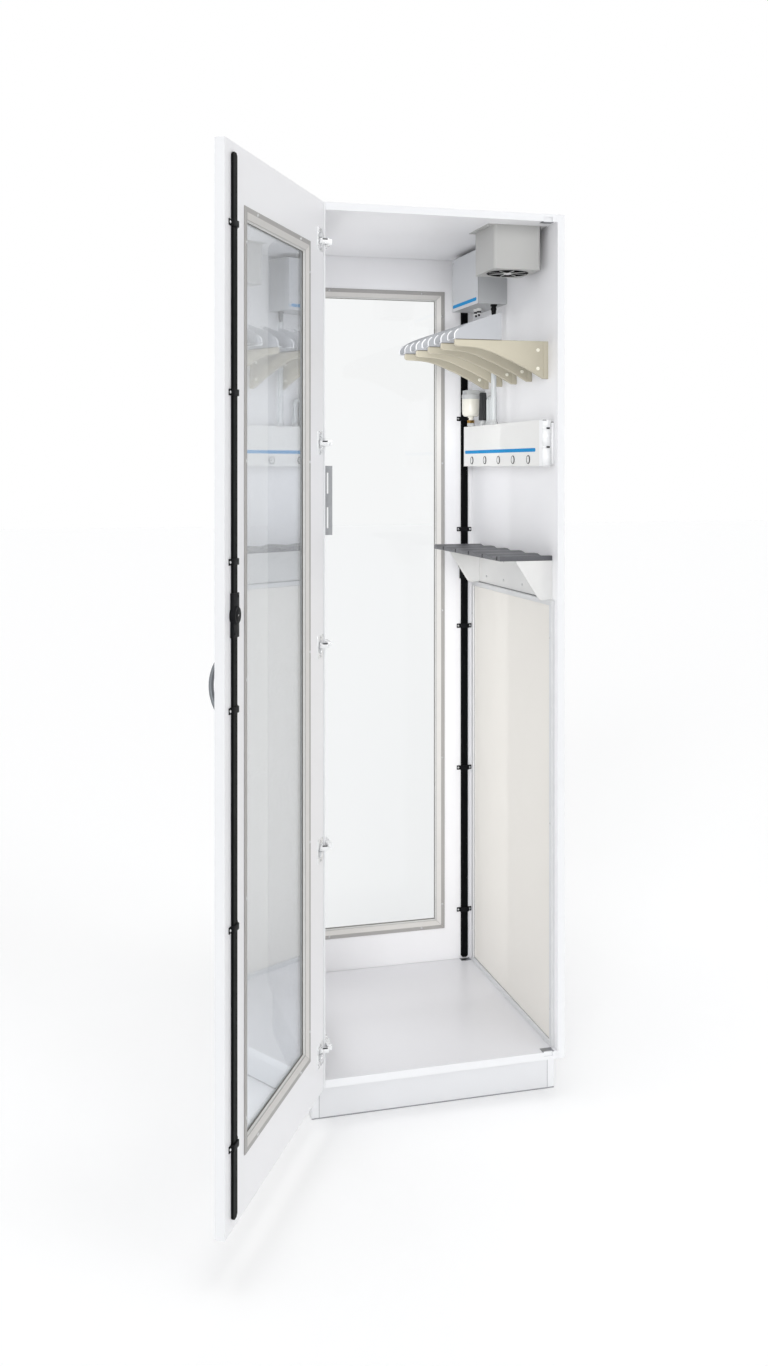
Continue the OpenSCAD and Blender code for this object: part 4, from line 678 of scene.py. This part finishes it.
# Rotor: a cup-shaped hub with seven swept blades of changing pitch
bm = bmesh.new()
ROT_Z, ROT_H, HUB_R, TIP_R = FAN_Z + 0.003, 0.018, 0.017, 0.0424
SPAN, CHORD = 8, 6      # steps of a blade's mesh from hub to tip and from edge to edge
lathe(bm, [(0, 0.0), (HUB_R - 0.002, 0.0), (HUB_R - 0.0006, 0.0006), (HUB_R, 0.002), (HUB_R, ROT_H),
           (HUB_R - 0.0015, ROT_H), (HUB_R - 0.0015, 0.003), (0.0035, 0.003), (0.0035, ROT_H),
           (0.00206, ROT_H), (0.00206, 0.0015), (0, 0.0015)], 48,
      Matrix.Translation((FAN[0], FAN[1], ROT_Z)))
for blade in range(BLADES):
    rows = []
    for i in range(SPAN + 1):
        t = i / SPAN
        r = HUB_R - 0.0005 + t * (TIP_R - HUB_R)
        pitch = math.radians(42 - 14 * t)
        lean = math.radians(10 * t) + blade * 2 * math.pi / BLADES
        half = 0.0098 + 0.0045 * t
        line = []
        for j in range(CHORD + 1):
            u = -1 + 2 * j / CHORD
            along = u * half
            a = lean + along * math.cos(pitch) / r
            z = ROT_Z + ROT_H / 2 + along * math.sin(pitch) * 0.86 + 0.0012 * (1 - u * u)
            line.append(Vector((FAN[0] + r * math.cos(a), FAN[1] + r * math.sin(a), z)))
        rows.append(line)
    for offset in (0.0006, -0.0006):
        grid = [[bm.verts.new(q + Vector((0, 0, offset))) for q in line] for line in rows]
        for i in range(SPAN):
            for j in range(CHORD):
                bm.faces.new((grid[i][j], grid[i + 1][j], grid[i + 1][j + 1], grid[i][j + 1]))
        if offset > 0:
            upper = grid
    for i in range(SPAN):
        for j in (0, CHORD):
            bm.faces.new((upper[i][j], upper[i + 1][j], grid[i + 1][j], grid[i][j]))
    for j in range(CHORD):
        for i in (0, SPAN):
            bm.faces.new((upper[i][j], upper[i][j + 1], grid[i][j + 1], grid[i][j]))
stand_in("fan_rotor", bm, "rotor_black")

# Filter: a pleated pack in a card frame
bm = bmesh.new()
lo = Vector((FAN[0] - 0.058, FAN[1] - 0.068, CEIL_Z - 0.038))
hi = Vector((FAN[0] + 0.058, FAN[1] + 0.068, CEIL_Z))
wall, corner_r, corner_steps = 0.004, 0.0066, 6
rings = []
for inset, z in ((0, lo.z), (0, hi.z), (wall, hi.z), (wall, lo.z)):
    r = corner_r - inset
    ring = []
    for k, (cx, cy) in enumerate(((hi.x, hi.y), (lo.x, hi.y), (lo.x, lo.y), (hi.x, lo.y))):
        sx, sy = (1 if cx == hi.x else -1), (1 if cy == hi.y else -1)
        for j in range(corner_steps + 1):
            a = math.pi / 2 * (k + j / corner_steps)
            ring.append(bm.verts.new((cx - sx * corner_r + r * math.cos(a),
                                      cy - sy * corner_r + r * math.sin(a), z)))
    rings.append(ring)
for a, b in zip(rings, rings[1:] + rings[:1]):
    for k in range(len(a)):
        n = (k + 1) % len(a)
        bm.faces.new((a[k], a[n], b[n], b[k]))
for offset in (0, -0.0008):
    line = []
    for k in range(PLEATS * 2 + 1):
        y = lo.y + wall + k * (hi.y - lo.y - 2 * wall) / (PLEATS * 2)
        z = (hi.z - 0.003 if k % 2 else lo.z + 0.003) + offset
        line.append([bm.verts.new((x, y, z)) for x in (lo.x + wall, hi.x - wall)])
    for p, q in zip(line, line[1:]):
        bm.faces.new((p[0], p[1], q[1], q[0]))
stand_in("fan_filter", bm)


# ---------------------------------------------------------------- control box
CX, CY, CZ = WALL_X - 0.082, FRONT_Y + 0.338, CEIL_Z - 0.154
C_LEN, C_H = 0.208, 0.142
bm = node_bmesh("control_box_cover")
round_edges(bm, 0.0007, 3)
stand_in("control_box_cover", bm)


def stripe(name, x, y0, y1, z, height):
    """A thin strip with round ends, just proud of a face that looks to -X."""
    bm = bmesh.new()
    r = height / 2
    ring = [(y0 + r - r * math.sin(a), z + r * math.cos(a)) for a in (math.pi * k / 10 for k in range(11))]
    ring += [(y1 - r + r * math.sin(a), z - r * math.cos(a)) for a in (math.pi * k / 10 for k in range(11))]
    outer = [bm.verts.new((x - 0.0002, y, zz)) for y, zz in ring]
    inner = [bm.verts.new((x + 0.0002, y, zz)) for y, zz in ring]
    bm.faces.new(outer)
    bm.faces.new(list(reversed(inner)))
    for k in range(len(ring)):
        n = (k + 1) % len(ring)
        bm.faces.new((outer[k], inner[k], inner[n], outer[n]))
    new_piece(name, bm, "stripe_blue", "cabinet")


STRIPE_H = 0.009
stripe("control_box_stripe", CX, CY + 0.008, CY + 0.202, CZ + 0.013, STRIPE_H)

# Screws in the cover, the seam between cover and shell, and two fittings underneath
FITTING_X, FITTING_YS = 0.2400, (0.1315, 0.1560)
bm = bmesh.new()
for y in (CY + 0.010, CY + C_LEN - 0.010):
    for z in (CZ + 0.030, CZ + C_H - 0.010):
        pan_head(bm, Matrix.Translation((CX, y, z)) @ LEFT, 0.0055, 0.0012)
new_piece("control_box_screws", bm, "screw_steel", "cabinet")
bm = bmesh.new()
for z in (CZ - 0.0003, CZ + C_H - 0.0005):
    box(bm, (CX + 0.0018, CY - 0.0002, z), (CX + 0.0026, CY + C_LEN + 0.0002, z + 0.0008))
for y in (CY - 0.0003, CY + C_LEN - 0.0005):
    box(bm, (CX + 0.0018, y, CZ), (CX + 0.0026, y + 0.0008, CZ + C_H))
new_piece("control_box_seam", bm, "joint_and_shade_grey", "cabinet")
bm = bmesh.new()
dark = bmesh.new()
for y in FITTING_YS:
    at = Matrix.Translation((FITTING_X, y, CZ)) @ DOWN
    lathe(bm, scaled([(0, -0.2), (7, -0.2), (7, 4), (5.2, 4.6), (5.2, 15), (4.4, 15.8), (0, 15.8)]), 32, at)
    lathe(dark, scaled([(5.3, 7.5), (6, 8), (6, 12), (5.3, 12.5), (5.3, 7.5)]), 32, at)
    lathe(dark, scaled([(0, 15.9), (3, 15.9), (3, 21), (0, 21)]), 24, at)
new_piece("control_box_fittings", bm, "grille_light", "cabinet")
new_piece("control_box_fitting_rings", dark, "port_dark", "cabinet")

# Circuit board: the board itself, the parts on its front and the pillars behind it
SHEET_T, PCB_GAP, PCB_T = 0.0015, 0.010, 0.0016
bm = node_bmesh("control_board")
board_x = WALL_X - SHEET_T - PCB_GAP - PCB_T
paint(bm, lambda f: 1 if f.calc_center_median().x < board_x - 0.0002 else
      (2 if f.calc_center_median().x > board_x + 0.0018 else 0))
round_edges(bm, 0.0002, 1)
stand_in("control_board", bm, ["circuit_board", "black_plastic", "port_metal"])


def hexagon(bm, radius, z0, z1, matrix):
    """A six-sided prism about +Z."""
    lower, upper = [[bm.verts.new(matrix @ Vector((radius * math.cos(a), radius * math.sin(a), z)))
                     for a in (math.pi / 3 * k for k in range(6))] for z in (z0, z1)]
    bm.faces.new(list(reversed(lower)))
    bm.faces.new(upper)
    for k in range(6):
        n = (k + 1) % 6
        bm.faces.new((lower[k], lower[n], upper[n], upper[k]))


# Gland: a nut, a ribbed cap, a tapered tail, and the thread inside the box
GLAND = Vector((WALL_X - 0.032, CY + 0.014, CZ))
bm = bmesh.new()
below = Matrix.Translation(GLAND) @ DOWN
hexagon(bm, 0.0088, 0.0, 0.005, below)
lathe(bm, scaled([(0, 5), (6.2, 5), (6.2, 9), (7, 9.5), (7, 15.5), (6.2, 16), (6, 24), (5.2, 30), (4.6, 32),
                  (0, 32)]), 40, below)
for k in range(12):
    spin = below @ Matrix.Rotation(k * math.pi / 6, 4, "Z")
    box(bm, (0.0068, -0.0007, 0.0097), (0.0074, 0.0007, 0.0153), spin)
lathe(bm, scaled([(0, -5), (3.9, -5), (3.9, 1), (0, 1)]), 32, below)
stand_in("cable_gland", bm)


# ---------------------------------------------------------------- manifold, filter, silencer, tubes
MX, MY, MZ, M_LEN, M_H = WALL_X - 0.030, FRONT_Y + 0.042, CEIL_Z - 0.578, 0.558, 0.110
M_TOP = MZ + M_H
bm = node_bmesh("manifold_cover")
round_edges(bm, 0.0005, 2)
stand_in("manifold_cover", bm)
stripe("manifold_stripe", MX, FRONT_Y + 0.066, FRONT_Y + 0.589, 1.543, STRIPE_H)

# End bracket: a folded sheet with two slots in its narrow front, dark plates in the slots as painted shade of
# the cavities, and two dark marks at its top edge
bm = bmesh.new()
y0, y1, top = MY - 0.020, MY - 0.0185, M_TOP
slots = [(M_TOP - 0.0673, M_TOP - 0.0627), (M_TOP - 0.0223, M_TOP - 0.0177)]
xs, xe, xa, xb = MX, MX + 0.0215, MX + 0.0105, MX + 0.0195
zs = [MZ] + [z for pair in slots for z in pair] + [top]
for k in range(5):
    if k % 2:
        box(bm, (xs, y0, zs[k]), (xa, y1, zs[k + 1]))
        box(bm, (xb, y0, zs[k]), (xe, y1, zs[k + 1]))
    else:
        box(bm, (xs, y0, zs[k]), (xe, y1, zs[k + 1]))
box(bm, (MX, y1, MZ), (MX + 0.0015, MY, top))
box(bm, (MX + 0.0205, y1, MZ + 0.0035), (MX + 0.0235, y1 + 0.0012, top - 0.0045))
box(bm, (MX + 0.0225, y0 + 0.0006, MZ + 0.0035), (WALL_X, y1 + 0.0006, top - 0.0045))
box(bm, (WALL_X - 0.0015, y1, MZ + 0.0035), (WALL_X, MY, top - 0.0045))
stand_in("manifold_end_bracket", bm)
bm = bmesh.new()
for lo_z, hi_z in slots:
    box(bm, (xa - 0.001, y1 + 0.0001, lo_z - 0.001), (xb + 0.001, y1 + 0.0006, hi_z + 0.001))
box(bm, (MX + 0.0005, y0 - 0.0001, top - 0.0016), (MX + 0.0100, y0 + 0.0004, top - 0.0001))
box(bm, (MX + 0.0226, y0 + 0.0004, top - 0.0062), (MX + 0.0285, y0 + 0.0008, top - 0.0047))
new_piece("manifold_end_shade_marks", bm, "port_dark", "cabinet")
# A dark line down the fold between the bracket's front and its flange: painted shade.
bm = bmesh.new()
box(bm, (MX + 0.0212, y0 + 0.0002, MZ + 0.0036), (MX + 0.0225, y0 + 0.0012, top - 0.0046))
new_piece("manifold_end_fold_shade", bm, "joint_and_shade_grey", "cabinet")

# Air ports: five turned rings with a bore
PORT_YS = [MY + M_LEN / 2 + (k - 2) * 0.1045 for k in range(5)]
PORT_Z = MZ + 0.016
bm = bmesh.new()
for y in PORT_YS:
    lathe(bm, scaled([(3, -12), (7.8, -12), (7.8, -0.2), (10.5, -0.2), (10.5, 0.8), (10.1, 1.8), (9.2, 1.8),
                      (8.8, 1.1), (7.4, 1.1), (6.8, 0.8), (4.2, 0.8), (3.4, 0.4), (3, -1), (3, -12)]),
          48, Matrix.Translation((MX, y, PORT_Z)) @ LEFT)


def off_port(f):
    """Distance of a face's middle from the nearest port's axis."""
    mid = f.calc_center_median()
    return min(math.hypot(mid.y - y, mid.z - PORT_Z) for y in PORT_YS)


paint(bm, lambda f: 1 if off_port(f) > 0.0088 else 0)
stand_in("air_ports", bm, ["port_face", "port_dark"])

# Valve block: a metal rail with black valves under it
bm = node_bmesh("valve_block")
rail_z = MZ + M_H - 0.030
paint(bm, lambda f: 1 if f.calc_center_median().z < rail_z - 0.0005 else 0)
round_edges(bm, 0.0008, 2)
stand_in("valve_block", bm, ["valve_metal", "black_plastic"])

# Air filter: bowl, nut, grips and head
BX, BY, BZ = WALL_X - 0.037, REAR_Y - 0.095, M_TOP + 0.026
bm = bmesh.new()
lathe(bm, scaled([(0, -26), (6, -26), (6, -4), (8.5, -3), (8.5, 0), (17, 0), (20, 1.5), (22.8, 5.5), (24, 10),
                  (24.3, 16), (24.3, 48), (23.8, 49), (23.8, 50.5), (24.5, 51.5), (24.5, 58.5), (23.6, 61),
                  (0, 61)]), 64, Matrix.Translation((BX, BY, BZ)))
paint(bm, lambda f: 1 if f.calc_center_median().z > BZ + 0.0485 else 0)
stand_in("air_filter_bowl", bm, ["bowl_plastic", "filter_plastic"])
bm = bmesh.new()
hexagon(bm, 0.0105, -0.0178, -0.0100, Matrix.Translation((BX, BY, BZ)))
new_piece("air_filter_nut", bm, "brass", "cabinet")
bm = bmesh.new()
hexagon(bm, 0.0105, -0.0258, -0.0180, Matrix.Translation((BX, BY, BZ)))
for k in range(16):
    spin = Matrix.Translation((BX, BY, BZ)) @ Matrix.Rotation(k * math.pi / 8, 4, "Z")
    box(bm, (0.0240, -0.0011, 0.0518), (0.0249, 0.0011, 0.0582), spin)
new_piece("air_filter_grips", bm, "filter_plastic", "cabinet")

bm = node_bmesh("air_filter_head")
round_edges(bm, 0.0016, 3)
stand_in("air_filter_head", bm)

# Silencer: a fluted cone on a collar, from (height, radius) levels
SX, SY = WALL_X - 0.022, BY - 0.057
bm = bmesh.new()
flutes, levels = 12, scaled([(14, 11.6), (15, 12), (70, 9.8), (86, 9.2), (89, 8)])
rings = []
for z, r in levels:
    ring = []
    for k in range(flutes * 8):
        a = 2 * math.pi * k / (flutes * 8)
        depth = 0.0013 if 0.0145 < z < 0.0865 else 0.0004
        rr = r - depth * (0.5 + 0.5 * math.cos(a * flutes)) ** 2
        ring.append(bm.verts.new((SX + rr * math.cos(a), SY + rr * math.sin(a), M_TOP + z)))
    rings.append(ring)
for lower, upper in zip(rings, rings[1:]):
    for k in range(len(lower)):
        n = (k + 1) % len(lower)
        bm.faces.new((lower[k], lower[n], upper[n], upper[k]))
bm.faces.new(list(reversed(rings[0])))
bm.faces.new(rings[-1])
stand_in("air_silencer", bm)
bm = bmesh.new()
hexagon(bm, 0.0098, 0.0, 0.0055, Matrix.Translation((SX, SY, M_TOP)))
lathe(bm, scaled([(0, 5.5), (8, 5.5), (8.4, 6.5), (8.4, 12.5), (7.6, 14.2), (0, 14.2)]), 40,
      Matrix.Translation((SX, SY, M_TOP)))
new_piece("silencer_collar", bm, "filter_plastic", "cabinet")

# Straight tube from the gland down into the manifold, the arched tube beside it, and their fittings
bm = bmesh.new()
sweep(bm, [Vector((GLAND.x, GLAND.y, z)) for z in (M_TOP + 0.001, M_TOP + 0.1, CZ - 0.030)], 0.007, 32)
LX, LY, LOOP_R, LOOP_H = WALL_X - 0.014, BY - 0.100, 0.011, 0.063
arch = [Vector((LX, LY, M_TOP + z)) for z in (0.001, 0.03, LOOP_H)]
arch += [Vector((LX, LY + LOOP_R - LOOP_R * math.cos(a), M_TOP + LOOP_H + LOOP_R * math.sin(a)))
         for a in (math.pi * k / 14 for k in range(1, 15))]
arch += [Vector((LX, LY + 2 * LOOP_R, M_TOP + z)) for z in (0.03, 0.001)]
sweep(bm, arch, 0.006, 28)
stand_in("air_tubes", bm)
bm = bmesh.new()
for x, y, r in ((GLAND.x, GLAND.y, 0.0096), (LX, LY, 0.0082), (LX, LY + 2 * LOOP_R, 0.0082)):
    at = Matrix.Translation((x, y, M_TOP))
    hexagon(bm, r * 1.12, 0.0, 0.0055, at)
    lathe(bm, [(0, 0.0055), (r * 0.92, 0.0055), (r * 0.98, 0.0062), (r * 0.98, 0.0098), (r * 0.9, 0.0118),
               (0, 0.0118)], 40, at)
new_piece("tube_fittings", bm, "filter_plastic", "cabinet")


# ---------------------------------------------------------------- shelf and drip panel
SHELF_TOP, SHELF_Y, PITCH = FLOOR_Z + 1.1715, FRONT_Y + 0.033, 0.1034
# Black blocks along the shelf's edge: painted shade of the notches there.
bm = bmesh.new()
for k in range(5):
    y = SHELF_Y + (k + 0.22) * PITCH
    box(bm, (WALL_X - 0.1333, y - 0.0028, SHELF_TOP - 0.0105),
        (WALL_X - 0.1320, y + 0.0028, SHELF_TOP - 0.0015))
new_piece("shelf_notch_shade", bm, "rotor_black", "cabinet")
# A dark line along the foot of the shelf bracket's wall plate: painted shade.
bm = bmesh.new()
box(bm, (WALL_X - 0.0040, SHELF_Y + 0.045, SHELF_TOP - 0.106),
    (WALL_X - 0.0018, SHELF_Y + 0.515, SHELF_TOP - 0.1045))
new_piece("bracket_shadow_line", bm, "joint_and_shade_grey", "cabinet")

# Drip panel: mitred frame bars, the bead round the panel, and screws
DRIP = (0.575, 1.0655)
bm = bmesh.new()
section = scaled([(0, 0), (0, 8), (1, 9), (12, 9), (13, 8), (13, 4.5), (8, 4.5), (8, 0)])
on_wall = Matrix.Translation((WALL_X, FRONT_Y + 0.020, FLOOR_Z)) @ Matrix(
    ((0, 0, -1, 0), (1, 0, 0, 0), (0, 1, 0, 0), (0, 0, 0, 1)))
mitred_ring(bm, DRIP, section, on_wall)
paint(bm, lambda f: 0)
stand_in("drip_panel_frame", bm, name="drip_panel_frame_bars")
bm = bmesh.new()
mitred_ring(bm, DRIP, scaled([(12.6, 4.3), (12.6, 5.2), (13.6, 5.2), (13.6, 4.3)]), on_wall)
paint(bm, lambda f: 0)
new_piece("drip_panel_bead", bm, "joint_and_shade_grey", "cabinet")
bm = bmesh.new()
for y in (0.0065, DRIP[0] - 0.0065):
    for z in (0.090, DRIP[1] / 2, DRIP[1] - 0.090):
        pan_head(bm, on_wall @ Matrix.Translation((y, z, 0.009)), 0.0052, 0.0011)
new_piece("drip_panel_screws", bm, "screw_steel", "cabinet")


# ---------------------------------------------------------------- stage
def stage():
    """A plain pale floor, far wider than the view."""
    bm = bmesh.new()
    r = 30
    corners = [bm.verts.new((x, y, 0)) for x, y in ((-r, -r), (r, -r), (r, r), (-r, r))]
    bm.faces.new(corners)
    mesh = bpy.data.meshes.new("stage_floor")
    bm.to_mesh(mesh)
    bm.free()
    floor = bpy.data.objects.new("stage_floor", mesh)
    bpy.context.scene.collection.objects.link(floor)
    m = bpy.data.materials.new("stage_floor")
    m.use_nodes = True
    b = m.node_tree.nodes["Principled BSDF"]
    b.inputs["Base Color"].default_value = (0.9, 0.9, 0.9, 1)
    b.inputs["Emission Color"].default_value = (1, 1, 1, 1)
    b.inputs["Emission Strength"].default_value = 0.145
    b.inputs["Roughness"].default_value = 0.9
    b.inputs["Specular IOR Level"].default_value = 0.0
    mesh.materials.append(m)


def lights():
    """Soft studio light. The camera, mirrors and glass see a white world."""
    scene = bpy.context.scene
    world = bpy.data.worlds.new("studio")
    scene.world = world
    world.use_nodes = True
    nt = world.node_tree
    nt.nodes.clear()
    out = nt.nodes.new("ShaderNodeOutputWorld")
    soft = nt.nodes.new("ShaderNodeBackground")
    soft.inputs["Color"].default_value = (0.985, 0.99, 1.0, 1)
    soft.inputs["Strength"].default_value = 0.43
    white = nt.nodes.new("ShaderNodeBackground")
    white.inputs["Color"].default_value = (1, 1, 1, 1)
    white.inputs["Strength"].default_value = 1.0
    path = nt.nodes.new("ShaderNodeLightPath")
    direct = nt.nodes.new("ShaderNodeMath")
    direct.operation = "MAXIMUM"
    seen = nt.nodes.new("ShaderNodeMath")
    seen.operation = "MAXIMUM"
    nt.links.new(path.outputs["Is Camera Ray"], direct.inputs[0])
    nt.links.new(path.outputs["Is Glossy Ray"], direct.inputs[1])
    nt.links.new(direct.outputs[0], seen.inputs[0])
    nt.links.new(path.outputs["Is Transmission Ray"], seen.inputs[1])
    mix = nt.nodes.new("ShaderNodeMixShader")
    nt.links.new(seen.outputs[0], mix.inputs["Fac"])
    nt.links.new(soft.outputs[0], mix.inputs[1])
    nt.links.new(white.outputs[0], mix.inputs[2])
    nt.links.new(mix.outputs[0], out.inputs["Surface"])

    def sun(name, direction, strength, angle):
        data = bpy.data.lights.new(name, "SUN")
        data.energy = strength
        data.angle = math.radians(angle)
        obj = bpy.data.objects.new(name, data)
        obj.rotation_euler = Vector(direction).to_track_quat("-Z", "Y").to_euler()
        scene.collection.objects.link(obj)

    def spot(name, location, target, cone, power):
        data = bpy.data.lights.new(name, "SPOT")
        data.energy = power
        data.spot_size = math.radians(cone)
        data.spot_blend = 1.0
        data.shadow_soft_size = 0.08
        obj = bpy.data.objects.new(name, data)
        obj.location = location
        obj.rotation_euler = (Vector(target) - obj.location).to_track_quat("-Z", "Y").to_euler()
        obj.visible_glossy = False
        obj.visible_transmission = False
        scene.collection.objects.link(obj)

    def panel(name, location, direction, size, power):
        data = bpy.data.lights.new(name, "AREA")
        data.shape = "RECTANGLE"
        data.size, data.size_y = size
        data.energy = power
        obj = bpy.data.objects.new(name, data)
        obj.location = location
        obj.rotation_euler = Vector(direction).to_track_quat("-Z", "Y").to_euler()
        obj.visible_camera = False
        obj.visible_glossy = False
        obj.visible_transmission = False
        scene.collection.objects.link(obj)

    panel("side_fill", (-0.235, 0.0, 1.10), (1, 0, 0), (0.56, 1.86), 1.8)
    panel("rear_fill", (0.0, 0.0, 1.05), (0, 1, 0), (0.50, 1.70), 0.75)
    spot("hanger_fill", (-0.72, -2.50, 1.42), (0.06, 0.0, 1.74), 13, 80)
    sun("key_left", (0.5, 1.0, -0.35), 0.75, 25)
    sun("key_front", (0.34, 0.94, -0.05), 0.35, 15)
    sun("key_right", (-0.75, 0.8, -0.4), 0.52, 35)
    sun("top", (0.05, 0.1, -1), 1.2, 45)


# The photo's height, its focal length and its horizon, in pixels
PHOTO_H, FOCAL, HORIZON = 1366, 1304.65, 468.11


def camera():
    """The photo's camera: level, with a vertical shift."""
    data = bpy.data.cameras.new("camera")
    data.sensor_width = 36
    data.lens = FOCAL / PHOTO_H * data.sensor_width
    data.shift_y = -(PHOTO_H / 2 - HORIZON) / PHOTO_H
    data.clip_end = 100
    obj = bpy.data.objects.new("camera", data)
    obj.location = (-0.93241, -3.18004, 1.49882)
    obj.rotation_euler = (math.radians(90), 0, math.radians(-15.33))
    bpy.context.scene.collection.objects.link(obj)
    bpy.context.scene.camera = obj


stage()
lights()
camera()
bpy.context.scene.view_settings.view_transform = "Standard"
